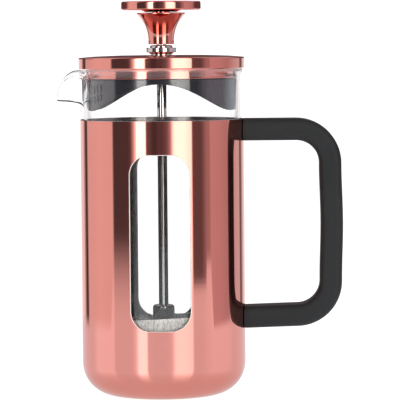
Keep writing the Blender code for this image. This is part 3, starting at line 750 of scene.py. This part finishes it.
def beaker_profile(azimuth):
    """Outer face at an azimuth, from the rim down to the middle of the base."""
    from_spout = abs(math.degrees(azimuth) % 360.0 - 180.0)
    lip = 0.0
    if from_spout < SPOUT_HALF_ANGLE:
        lip = math.cos(math.radians(90.0 * from_spout / SPOUT_HALF_ANGLE)) ** 2
    lean = 1.0 - (1.0 - lip) ** 3
    out_reach = BEAKER_FLARE + SPOUT_REACH * lip
    rim_z = BEAKER_TOP - SPOUT_DROP * math.exp(-(from_spout / SPOUT_DIP_ANGLE) ** 2) - BEAKER_WALL * lean
    below = mix(FLARE_HEIGHT / 2, SPOUT_LIP_HEIGHT, lean)
    shoulder = mix(1.0, SPOUT_LIP_START, lean)
    path = []
    for rest in (step / 20 for step in range(21)):
        part = 1.0 - rest
        out = 3 * rest * part ** 2 * shoulder + part ** 3
        down = rest ** 3 * FLARE_HEIGHT + 3 * rest * part * below
        path.append((BEAKER_RADIUS + out_reach * out, rim_z - down))
    wall_start, wall_end = path[-1][1], BEAKER_BASE + BEAKER_CORNER
    path += [(BEAKER_RADIUS, mix(wall_start, wall_end, step / 9)) for step in range(1, 9)]
    centre = BEAKER_RADIUS - BEAKER_CORNER
    for angle in (math.pi / 2 * step / 14 for step in range(15)):
        path.append((centre + BEAKER_CORNER * math.cos(angle), wall_end - BEAKER_CORNER * math.sin(angle)))
    return path + [(centre * part, BEAKER_BASE) for part in (0.75, 0.5, 0.25, 0.02)]


def beaker_outline(azimuth):
    """Closed glass outline from the middle underneath, over the rim, to the middle inside."""
    outer = beaker_profile(azimuth)[::-1]
    inner = []
    for index, (out, height) in enumerate(outer):
        before = outer[max(index - 1, 0)]
        after = outer[min(index + 1, len(outer) - 1)]
        run = unit(after[0] - before[0], after[1] - before[1])
        inner.append((max(out - run[1] * BEAKER_WALL, 0.0002), height + run[0] * BEAKER_WALL))
    (out, height), (in_out, in_height) = outer[-1], inner[-1]
    across = ((out - in_out) / 2, (height - in_height) / 2)
    bulge = 0.8
    rim = []
    for angle in (math.pi * step / 8 for step in range(1, 8)):
        side, ahead = math.cos(angle), bulge * math.sin(angle)
        rim.append((in_out + across[0] * (1 + side) - across[1] * ahead,
                    in_height + across[1] * (1 + side) + across[0] * ahead))
    return outer + rim + inner[::-1]


def make_beaker():
    span = math.radians(SPOUT_HALF_ANGLE + 2)
    azimuths = [azimuth for azimuth in even(120) if abs(azimuth - math.pi) > span]
    azimuths += [math.pi + span * step / 40 for step in range(-40, 41)]
    azimuths.sort()
    grid = np.array([[swing(azimuth, *spot) for spot in beaker_outline(azimuth)] for azimuth in azimuths])
    grid[:, :, 2] = np.minimum(grid[:, :, 2], BEAKER_TOP)
    grid[:, :, 0] = np.maximum(grid[:, :, 0], -SPOUT_TIP)
    piece = lofted("beaker_glass", grid, CLEAR_GLASS, False)
    piece.visible_shadow = False
    settle(piece, "beaker", "beaker")


# ---- Lid ---------------------------------------------------------------------------------

def make_lid_shell():
    path = [(COLLAR_RADIUS, PLUG_BOTTOM, 0.0), (COLLAR_RADIUS, LEDGE_Z, 0.0003),
            (LID_RADIUS, LEDGE_Z, 0.0004), (LID_RADIUS, LID_TOP - 0.0011, 0.0006),
            (0.031, LID_TOP - 0.0005, 0.03), (LID_RADIUS / 2, LID_TOP - 0.0001, 0.1), (0.0049, LID_TOP, 0.0)]
    piece = turned("lid_cover", sheet_corners(path, LID_WALL), COPPER, 180, 8)
    settle(piece, "lid_shell", "lid")


SLITS = [math.pi + math.radians((index - (SLIT_COUNT - 1) / 2) * SLIT_PITCH) for index in range(SLIT_COUNT)]
SLIT_HALF_TURN = SLIT_WIDTH / 2 / COLLAR_RADIUS


def collar_radius(height):
    return COLLAR_RADIUS - COLLAR_LEAN * (SHOULDER_Z - height)


def collar_low_edge(azimuth):
    from_side = abs(math.degrees(azimuth) % 180.0 - 90.0)
    if from_side > SCALLOP_HALF_ANGLE:
        return COLLAR_LOW
    return COLLAR_LOW + COLLAR_SCALLOP * math.cos(math.radians(90.0 * from_side / SCALLOP_HALF_ANGLE)) ** 2


def in_slit(azimuth):
    return min(abs(azimuth - slit) for slit in SLITS) <= SLIT_HALF_TURN + 1e-7 / COLLAR_RADIUS


def slit_levels(azimuth):
    """Heights of the slits' ends at an azimuth, from low to high."""
    deep = SHOULDER_Z - collar_low_edge(azimuth)
    half = SLIT_WIDTH / 2
    offset = min(abs(azimuth - slit) for slit in SLITS) * COLLAR_RADIUS
    rounding = half - math.sqrt(max(half ** 2 - offset ** 2, 0.0))
    levels = []
    for start, end in SLIT_ROWS[::-1]:
        levels += [SHOULDER_Z - deep * end + rounding, SHOULDER_Z - deep * start - rounding]
    return levels


def collar_wall(form, azimuth, inset, facing, high):
    """Column on the collar's outer or inner face, with the slits' ends."""
    normal = swing(azimuth, *unit(facing, -facing * COLLAR_LEAN))
    heights = [collar_low_edge(azimuth) + COLLAR_EDGE, *slit_levels(azimuth), high]
    return [form.corner(swing(azimuth, collar_radius(height) - inset, height), normal) for height in heights]


def collar_bottom(form, azimuth, steps=8):
    """Column over the collar's rounded lower edge, from the inner face to the outer."""
    height = collar_low_edge(azimuth) + COLLAR_EDGE
    half = COLLAR_WALL / 2
    middle = collar_radius(height) - half
    column = []
    for step in range(steps + 1):
        out, down = -math.cos(math.pi * step / steps), math.sin(math.pi * step / steps)
        column.append(form.corner(swing(azimuth, middle + half * out, height - COLLAR_EDGE * down),
                                  swing(azimuth, *unit(COLLAR_EDGE * out, -half * down))))
    return column


def collar_neck(form, azimuth):
    """Column from the collar's outer face over its shoulder, up the neck and down inside."""
    neck = COLLAR_RADIUS - LID_WALL - GAP
    corners = [(collar_radius(SHOULDER_INNER_Z) - COLLAR_WALL, SHOULDER_INNER_Z, 0.0),
               (collar_radius(SHOULDER_Z - COLLAR_EDGE), SHOULDER_Z - COLLAR_EDGE, 0.0),
               (COLLAR_RADIUS, SHOULDER_Z, COLLAR_EDGE * 0.99), (neck, SHOULDER_Z, 0.0002),
               (neck, COLLAR_TOP, 0.0003), (neck - COLLAR_WALL, COLLAR_TOP, 0.0003),
               (neck - COLLAR_WALL, SHOULDER_Z - 0.0007, 0.0003)]
    return [form.corner(swing(azimuth, *spot), swing(azimuth, *normal))
            for segment in rounded(corners, 3)[1:] for spot, normal in segment]


def line_slit(form, outer, inner):
    """Walls inside both slits that lie between some columns of the outer and inner faces."""
    for low_row in (1, 3):
        loop = [(out[low_row][0], into[low_row][0]) for out, into in zip(outer, inner)]
        loop += [(out[low_row + 1][0], into[low_row + 1][0]) for out, into in zip(outer[::-1], inner[::-1])]
        spots = [Vector(form.points[number]) for number, _ in loop]
        middle = sum(spots, Vector()) / len(spots)
        columns = []
        for spot, numbers in zip(spots, loop):
            radial = Vector((spot.x, spot.y, 0.0)).normalized()
            way = middle - spot
            way = (way - radial * way.dot(radial)).normalized()
            columns.append([(number, tuple(way)) for number in numbers])
        form.skin(columns, 1)


def make_collar():
    span = math.radians(SLIT_PITCH * SLIT_COUNT / 2)
    azimuths = [azimuth for azimuth in even(144) if abs(azimuth - math.pi) > span]
    for slit in SLITS:
        azimuths += [slit + SLIT_HALF_TURN * part for part in (-1.0, -0.8, -0.4, 0.0, 0.4, 0.8, 1.0)]
        azimuths.append(slit + math.radians(SLIT_PITCH / 2))
    azimuths.sort()
    is_slit = [in_slit(azimuth) for azimuth in azimuths]

    def is_gap(index, row):
        return row in (1, 3) and is_slit[index] and is_slit[index + 1]

    form = Form()
    outer = [collar_wall(form, azimuth, 0.0, 1.0, SHOULDER_Z - COLLAR_EDGE) for azimuth in azimuths]
    inner = [collar_wall(form, azimuth, COLLAR_WALL, -1.0, SHOULDER_INNER_Z) for azimuth in azimuths]
    for columns in (outer, inner):
        form.skin(columns, is_gap=is_gap)
    form.skin([collar_bottom(form, azimuth) for azimuth in azimuths])
    form.skin([collar_neck(form, azimuth) for azimuth in azimuths])
    for slit in SLITS:
        inside = [index for index, azimuth in enumerate(azimuths) if is_slit[index]
                  and abs(azimuth - slit) < math.radians(SLIT_PITCH / 2)]
        line_slit(form, [outer[index] for index in inside], [inner[index] for index in inside])
    piece = form.make("strainer_collar_ring", [GLOSS_BLACK, MOULDED_BLACK])
    settle(piece, "strainer_collar", "lid")


def make_guide_bush():
    radius, low, high = reach("guide_bush")
    shank, foot, bore = 0.0046, 0.0053, 0.0036
    foot_z = LID_TOP + GAP
    flange_low, flange_top = LID_TOP + 0.0012, high - 0.0012
    outline = [(bore, low, 0.0003), (shank, low, 0.0003), (shank, foot_z, 0.0),
               (foot - 0.0004, foot_z, 0.0001), (foot + 0.0006, flange_low, 0.0001),
               (radius, flange_low, 0.0003), (radius, flange_top, 0.0003), (foot, flange_top, 0.0001),
               (foot - 0.0004, high, 0.001), (bore, high, 0.0002)]
    settle(turned("guide_bush_turned", outline, BRIGHT_STEEL), "guide_bush", "lid_bush")


def make_nut(name, node, bore, flats, body):
    """Hexagonal nut whose corners are turned down at both ends."""
    _, low, high = reach(node)
    half = flats / 2
    columns = []
    for azimuth in even(96):
        flat = round(azimuth / (math.pi / 3)) * math.pi / 3
        across = half / math.cos(azimuth - flat)
        rim = min(across, 1.02 * half)
        ease = (across - half) * 0.6 + 0.0001
        spots = ((bore, low), (rim, low), (across, low + ease), (across, high - ease), (rim, high),
                 (bore, high))
        columns.append((azimuth, flat, [swing(azimuth, *spot) for spot in spots]))
    form = Form()
    for (azimuth, flat, here), (following, _, there) in zip(columns, columns[1:] + columns[:1]):
        down, side, up = (swing(flat, *way) for way in ((0.0, -1.0), (1.0, 0.0), (0.0, 1.0)))
        ways = [(way, way) for way in (down, side, side, side, up)]
        ways.append((swing(azimuth, -1.0, 0.0), swing(following, -1.0, 0.0)))
        for row, (way, way_there) in enumerate(ways):
            above = (row + 1) % len(ways)
            form.face([form.corner(here[row], way), form.corner(there[row], way_there),
                       form.corner(there[above], way_there), form.corner(here[above], way)])
    settle(form.make(name, [BRIGHT_STEEL]), node, body)


def make_rod_sleeve():
    radius, low, high = reach("rod_sleeve")
    bore = ROD_RADIUS + 0.0001
    outline = [(bore, low, 0.0001), (radius, low, 0.0002), (radius, high, 0.0002), (bore, high, 0.0001)]
    piece = turned("rod_sleeve_turned", outline, BRIGHT_STEEL, 64)
    settle(piece, "rod_sleeve", "rod_guide")


# ---- Plunger -----------------------------------------------------------------------------

def thread(start, end, root, crest, pitch=0.0007):
    """Corners of a thread's ridges from one height up to another."""
    corners = []
    while start < end:
        corners += [(root, start, 0.0), (crest, start + pitch / 2, 0.0)]
        start += pitch
    return corners


def make_rod():
    shoulder = NECK_LOW + 2 * GAP
    outline = [(0.0, ROD_LOW, 0.0), (0.0013, ROD_LOW, 0.0)]
    outline += thread(ROD_LOW + 0.0004, HUB_LOW - 0.001, 0.0014, 0.0017)
    outline += [(0.0014, HUB_LOW - 0.0002, 0.0), (0.0014, HUB_LOW, 0.0), (ROD_RADIUS, HUB_LOW, 0.0002),
                (ROD_RADIUS, shoulder, 0.0002), (0.0015, shoulder, 0.0)]
    outline += thread(shoulder + 0.0006, ROD_HIGH - 0.001, 0.0015, 0.0018)
    outline += [(0.0014, ROD_HIGH, 0.0), (0.0, ROD_HIGH, 0.0)]
    piece = turned("plunger_rod_turned", outline, BRIGHT_STEEL, 64, 4)
    settle(piece, "plunger_rod", "plunger")


def make_knob_neck():
    bore = INSERT_RADIUS + GAP
    rod_hole = ROD_RADIUS + GAP
    waist, curve = 0.00592, 0.0171
    flare_z, lip_z, seat_z = NECK_LOW + 0.0014, NECK_HIGH - 0.0006, INSERT_LOW - GAP
    knee = flare_z + curve * math.tan(math.asin(min((lip_z - flare_z) / curve, 1.0)) / 2)
    outline = [(rod_hole, NECK_LOW, 0.0001), (waist, NECK_LOW, 0.0003), (waist, knee, curve),
               (NECK_TOP_RADIUS, lip_z, 0.0003), (NECK_TOP_RADIUS, NECK_HIGH, 0.0003),
               (bore, NECK_HIGH, 0.0002), (bore, seat_z, 0.0), (rod_hole, seat_z, 0.0)]
    settle(turned("knob_neck_turned", outline, COPPER, 96, 16), "knob_neck", "plunger")


def make_knob_cap():
    bottom, spigot, spigot_z = NECK_HIGH + 0.0011, 0.0074, NECK_HIGH + GAP
    outline = [(0.0, CAP_STUD, 0.0), (INSERT_RADIUS, CAP_STUD, 0.0004), (INSERT_RADIUS, spigot_z, 0.0),
               (spigot, spigot_z, 0.0001), (1.25 * spigot, bottom, 0.0003), (CAP_RADIUS, bottom, 0.0007),
               (CAP_RADIUS, CAP_HIGH, 0.0009), (0.0, CAP_HIGH, 0.0)]
    settle(turned("knob_cap_turned", outline, COPPER, 144, 8), "knob_cap", "plunger")


def make_knob_insert():
    bore = 0.0021
    outline = [(bore, INSERT_LOW, 0.0001), (INSERT_RADIUS, INSERT_LOW, 0.0003),
               (INSERT_RADIUS, INSERT_HIGH, 0.0003), (bore, INSERT_HIGH, 0.0001)]
    piece = turned("knob_insert_turned", outline, TURNED_BRASS, 48, 3)
    settle(piece, "knob_insert", "plunger")


def make_filter_hub():
    hole = ROD_RADIUS + GAP
    outline = [(hole, HUB_LOW, 0.0001), (HUB_RADIUS, HUB_LOW, 0.0002), (HUB_RADIUS, HUB_HIGH, 0.0014),
               (hole, HUB_HIGH, 0.0002)]
    piece = turned("filter_hub_turned", outline, BRIGHT_STEEL, 96, 8)
    settle(piece, "filter_hub", "plunger")


def screen_outline(azimuth):
    """Mesh floor and the rim that stands up against the glass, higher on one side."""
    wall, turn, tilt = 0.0003, 0.0008, 0.0028
    rim_z = SCREEN_HIGH - tilt + tilt * math.cos(azimuth - math.radians(-55.0))

    def side(inset):
        flat = SCREEN_RADIUS - turn
        spots = [(mix(0.002, flat, part), SCREEN_LOW + inset) for part in (0.0, 0.3, 0.6, 0.9)]
        for angle in (math.pi / 2 * step / 6 for step in range(7)):
            spots.append((flat + (turn - inset) * math.sin(angle),
                          SCREEN_LOW + turn - (turn - inset) * math.cos(angle)))
        return spots + [(SCREEN_RADIUS - inset, mix(SCREEN_LOW + turn, rim_z, part))
                        for part in (0.25, 0.5, 0.75, 0.97, 1.0)]

    return side(0.0) + side(wall)[::-1]


def make_filter_screen():
    grid = np.array([[swing(azimuth, *spot) for spot in screen_outline(azimuth)] for azimuth in even(180)])
    piece = lofted("filter_screen_mesh", grid, WOVEN_MESH, True)
    settle(piece, "filter_screen", "plunger")


def make_coil_spring():
    """Fine spring bent into a ring under the screen."""
    radius, low, high = reach("coil_spring")
    wire = 0.00022
    turns, per_turn, sides = 84, 12, 6
    coil = (high - low) / 2 - wire
    ring = radius - coil - wire
    up = Vector((0.0, 0.0, 1.0))
    form = Form()
    loops = []
    for azimuth in even(turns * per_turn):
        phase = azimuth * turns
        radial = Vector(swing(azimuth, 1.0, 0.0))
        outward = radial * math.cos(phase) + up * math.sin(phase)
        winding = up * math.cos(phase) - radial * math.sin(phase)
        centre = radial * ring + up * (low + high) / 2 + outward * coil
        run = winding * (coil * turns) + up.cross(radial) * ring
        sideways = run.cross(outward).normalized()
        normals = [outward * math.cos(angle) + sideways * math.sin(angle) for angle in even(sides)]
        loops.append([form.corner(centre + normal * wire, normal) for normal in normals])
    form.skin(loops, is_loop=True)
    settle(form.make("coil_spring_wire", [PRESSED_STEEL]), "coil_spring", "plunger")


def make_plate(name, node, boss, slope, is_dished_up, circle, hole):
    """Pressed plate, its middle above or below its rim, with a ring of round holes."""
    radius, low, high = reach(node)
    wall, bend = 0.0005, 0.0008
    boss_z, rim_z = (low + wall, high) if is_dished_up else (high, low + wall)
    path = [(radius, rim_z, 0.0), (boss + slope, rim_z, bend), (boss, boss_z, bend), (0.002, boss_z, 0.0)]
    piece = turned(name, sheet_corners(path, wall), PRESSED_STEEL, 120, 5)
    hole_count = 8
    for index in range(hole_count):
        azimuth = 2 * math.pi * (index + 0.5) / hole_count
        bpy.ops.mesh.primitive_cylinder_add(vertices=40, radius=hole, depth=0.01,
                                            location=swing(azimuth, circle, low))
        cutter = bpy.context.object
        boolean = piece.modifiers.new("hole", "BOOLEAN")
        boolean.solver = "EXACT"
        boolean.object = cutter
        bpy.context.view_layer.objects.active = piece
        with bpy.context.temp_override(object=piece, active_object=piece, selected_objects=[piece]):
            bpy.ops.object.modifier_apply(modifier="hole")
        bpy.data.objects.remove(cutter, do_unlink=True)
    piece.data.shade_smooth()
    piece.data.set_sharp_from_angle(angle=math.radians(35))
    settle(piece, node, "plunger")


# ---- Studio ------------------------------------------------------------------------------

PLAIN = (1.0, 0.95, 0.96)
WARM = (1.0, 0.97, 0.92)
ROSE = (1.0, 0.83, 0.90)
COOL = (1.0, 1.05, 1.12)
DEEP = (1.0, 0.55, 0.55)
WORLD_STRENGTH = 4.0


def lit(level, tint=PLAIN):
    return tuple(level * channel / WORLD_STRENGTH for channel in tint)


def studio_bands():
    """What surrounds the press, by azimuth from the camera's side: pale walls, two tall soft
    boxes with soft edges, and the dark gaps between them."""
    back = [(-180, 1.0), (-147, 0.95), (-142, 0.4), (-137, 0.06), (-133, 0.06), (-129, 0.8)]
    left = [(-115, 0.84), (-100, 0.9), (-75, 0.86), (-72.3, 0.075, COOL), (-49, 0.085, ROSE),
            (-45, 0.14, ROSE), (-42.5, 0.45, ROSE), (-39.5, 0.95), (-37.5, 1.8, WARM), (-35.5, 3.8),
            (-23.7, 3.6, WARM), (-22.4, 0.16, ROSE)]
    front = [(-17, 0.14, ROSE), (-14, 0.08, ROSE), (-9, 0.07, ROSE), (-6, 0.11, ROSE), (0, 0.11, ROSE),
             (6, 0.19, ROSE), (9.5, 0.38, ROSE), (12.5, 0.85, ROSE), (15, 2.4, WARM), (18, 3.0, WARM),
             (31, 3.0, WARM), (41, 2.4, WARM), (42.6, 0.14, ROSE)]
    right = [(56, 0.14, ROSE), (61, 0.28, ROSE), (64, 0.4, ROSE), (69.3, 0.42, ROSE), (71, 0.62, ROSE),
             (88, 0.58, ROSE), (103, 0.5, ROSE), (120, 0.66, COOL), (136, 0.7, COOL), (140, 0.16),
             (144, 0.16), (149, 0.6), (156, 0.95), (180, 1.0)]
    return [(azimuth, lit(*light)) for azimuth, *light in back + left + front + right]


def floor_ends():
    """Where the floor ends, by azimuth: the distances at which it starts to fade and is gone."""
    left = [(-180, 0.30, 0.40), (-76, 0.30, 0.40), (-73, 0.36, 1.15)]
    right = [(0, 0.36, 1.15), (38, 0.36, 1.15), (42, 0.58, 0.66), (61, 0.58, 0.66), (62, 0.76, 0.86),
             (69, 0.76, 0.86), (71, 0.33, 0.36), (105, 0.33, 0.40), (180, 0.30, 0.40)]
    return [(azimuth, (fades, gone, 0.0)) for azimuth, fades, gone in left + right]


class Studio(Nodes):
    """The world's or the floor's tree."""

    def __init__(self, tree):
        super().__init__(tree)
        tree.nodes.clear()

    def smooth(self, value, start, end):
        """0 up to start and 1 from end on."""
        return self.remap(value, 0.0, 1.0, start, end, "SMOOTHSTEP")

    def choose(self, factor, first, second):
        """Shader that goes from first to second with the factor."""
        return self.node("MixShader", factor, first, second).outputs[0]

    def turns(self, direction):
        """Azimuth of a direction from the camera's side, -1 to 1 from the back round to the back."""
        parts = []
        for facing in ((math.cos(CAMERA_AZIMUTH), math.sin(CAMERA_AZIMUTH), 0.0),
                       (math.sin(CAMERA_AZIMUTH), -math.cos(CAMERA_AZIMUTH), 0.0)):
            dot = self.node("VectorMath", direction, facing, operation="DOT_PRODUCT")
            parts.append(dot.outputs["Value"])
        return self.math("DIVIDE", self.math("ARCTAN2", *parts), math.pi)

    def bands(self, turns, stops):
        """Colour by azimuth from (degrees, colour) stops, one ramp for each half round."""
        halves = []
        for side, start in ((-1, 1.0), (1, 0.0)):
            ramp = self.node("ValToRGB", self.math("ADD", turns, start))
            elements = ramp.color_ramp.elements
            elements.remove(elements[-1])
            half = [stop for stop in stops if stop[0] * side >= 0]
            elements[0].color = (*half[0][1], 1.0)
            for angle, colour in half[1:]:
                elements.new(angle / 180.0 + start).color = (*colour, 1.0)
            halves.append(ramp.outputs["Color"])
        return self.blend(self.math("GREATER_THAN", turns, 0.0), *halves)

    def bounced(self, with_diffuse):
        """1 for light that a surface throws back, and 0 for what is seen straight or through glass.
        A ray that leaves a glass wall after two bounces inside it counts as seen through the glass."""
        path = self.node("LightPath").outputs
        bounces = path["Glossy Depth"]
        if with_diffuse:
            bounces = self.math("ADD", bounces, path["Diffuse Depth"])
        crossings = path["Transmission Depth"]
        inside = self.math("MULTIPLY", self.math("GREATER_THAN", crossings, 0.5),
                           self.math("LESS_THAN", crossings, 3.5))
        inside = self.math("MULTIPLY", inside, self.math("GREATER_THAN", path["Glossy Depth"], 1.5))
        thrown = self.math("SUBTRACT", self.math("GREATER_THAN", bounces, 0.5), inside)
        return self.math("MAXIMUM", thrown, 0.0)


def make_world():
    """White for the camera's own rays, and the studio for what the press mirrors."""
    world = bpy.data.worlds.new("studio")
    bpy.context.scene.world = world
    world.use_nodes = True
    studio = Studio(world.node_tree)
    direction = studio.node("TexCoord").outputs["Generated"]
    split = studio.node("SeparateXYZ", direction).outputs
    ceiling, backdrop_front = (0.6, 0.9), (0.2, 0.5)
    backdrop_foot, backdrop_top = (-0.004, 0.008), (0.55, 0.25)
    bands = studio.bands(studio.turns(direction), studio_bands())
    room = studio.blend(studio.smooth(split["Z"], *ceiling), bands, lit(0.42, ROSE))
    backdrop = studio.math("MULTIPLY", studio.smooth(split["Z"], *backdrop_foot),
                           studio.smooth(split["Z"], *backdrop_top))
    backdrop = studio.math("MULTIPLY", studio.smooth(split["Y"], *backdrop_front), backdrop)
    room = studio.blend(backdrop, room, lit(0.13, DEEP))
    seen = studio.blend(studio.bounced(True), lit(1.25, (1.0, 1.0, 1.0)), room)
    light = studio.node("Background", seen, WORLD_STRENGTH).outputs[0]
    studio.node("OutputWorld", light)


def make_floor():
    """Plain white floor. Seen in the press it has a slight gloss and a painted shade that darkens its glow
    close round the press's foot, and it ends where the walls stand.
    """
    side = 3.0
    mesh = bpy.data.meshes.new("floor")
    mesh.from_pydata([(-side, -side, 0.0), (side, -side, 0.0), (side, side, 0.0), (-side, side, 0.0)], [],
                     [(0, 1, 2, 3)])
    floor = bpy.data.objects.new("floor", mesh)
    bpy.context.scene.collection.objects.link(floor)
    floor.location.z = BODY_BASE - 0.00005
    material = bpy.data.materials.new("floor")
    material.use_nodes = True
    studio = Studio(material.node_tree)
    spot = studio.node("TexCoord").outputs["Object"]
    distance = studio.node("VectorMath", spot, operation="LENGTH").outputs["Value"]

    # Painted shade: in what the press mirrors, the floor's glow is darker and warmer close round the press's
    # foot, where the press shades it.
    near = studio.smooth(distance, 0.9 * BODY_RADIUS, 2.2 * BODY_RADIUS)
    shade = studio.blend(near, lit(0.74), lit(0.78, COOL))
    matt = studio.node("Emission", shade, WORLD_STRENGTH).outputs[0]
    gloss = studio.node("BsdfGlossy", (0.29, 0.34, 0.36, 1.0), 0.16).outputs[0]
    glow = studio.choose(near, matt, studio.node("AddShader", matt, gloss).outputs[0])
    ends = studio.node("SeparateXYZ", studio.bands(studio.turns(spot), floor_ends())).outputs
    clear = studio.node("BsdfTransparent").outputs[0]
    mirrored = studio.choose(studio.smooth(distance, ends[0], ends[1]), glow, clear)

    pale = studio.node("Emission", (1.0, 1.0, 1.0, 1.0), 0.95).outputs[0]
    plain = studio.node("BsdfDiffuse", (0.3, 0.3, 0.3, 1.0)).outputs[0]
    white = studio.node("AddShader", pale, plain).outputs[0]
    studio.node("OutputMaterial", studio.choose(studio.bounced(False), white, mirrored))
    mesh.materials.append(material)


def make_camera():
    data = bpy.data.cameras.new("camera")
    data.lens = CAMERA_LENS
    data.sensor_width = 36.0
    data.clip_start = 0.05
    data.clip_end = 50.0
    camera = bpy.data.objects.new("camera", data)
    bpy.context.scene.collection.objects.link(camera)
    spot = Vector((CAMERA_DISTANCE * math.sin(CAMERA_AZIMUTH), -CAMERA_DISTANCE * math.cos(CAMERA_AZIMUTH),
                   CAMERA_HEIGHT))
    turn = (Matrix.Rotation(CAMERA_AZIMUTH + CAMERA_TURN, 4, "Z")
            @ Matrix.Rotation(math.pi / 2 + CAMERA_TILT, 4, "X")
            @ Matrix.Rotation(-CAMERA_ROLL, 4, "Z"))
    camera.matrix_world = Matrix.Translation(spot) @ turn
    bpy.context.scene.camera = camera


def set_view():
    view = bpy.context.scene.view_settings
    view.view_transform = "Standard"
    view.look = "None"
    view.exposure = 0.0


# ---- Whole press -------------------------------------------------------------------------

make_camera()
set_view()
make_world()
make_floor()

make_frame_shell()
make_handle()
for arm in ("upper", "lower"):
    make_handle_screw(arm)
    make_handle_insert(arm)
make_seat_ring()
make_beaker()
make_lid_shell()
make_collar()
make_guide_bush()
make_nut("bush_nut_hex", "bush_nut", 0.0048, 0.0115, "lid_bush")
make_rod_sleeve()
make_rod()
make_knob_neck()
make_knob_cap()
make_knob_insert()
make_filter_hub()
make_filter_screen()
make_coil_spring()
make_plate("spring_plate_pressed", "spring_plate", 0.007, 0.002, True, 0.0195, 0.0052)
make_plate("cross_plate_pressed", "cross_plate", 0.0055, 0.0025, False, 0.0215, 0.006)
make_nut("filter_nut_hex", "filter_nut", 0.0018, 0.008, "plunger")
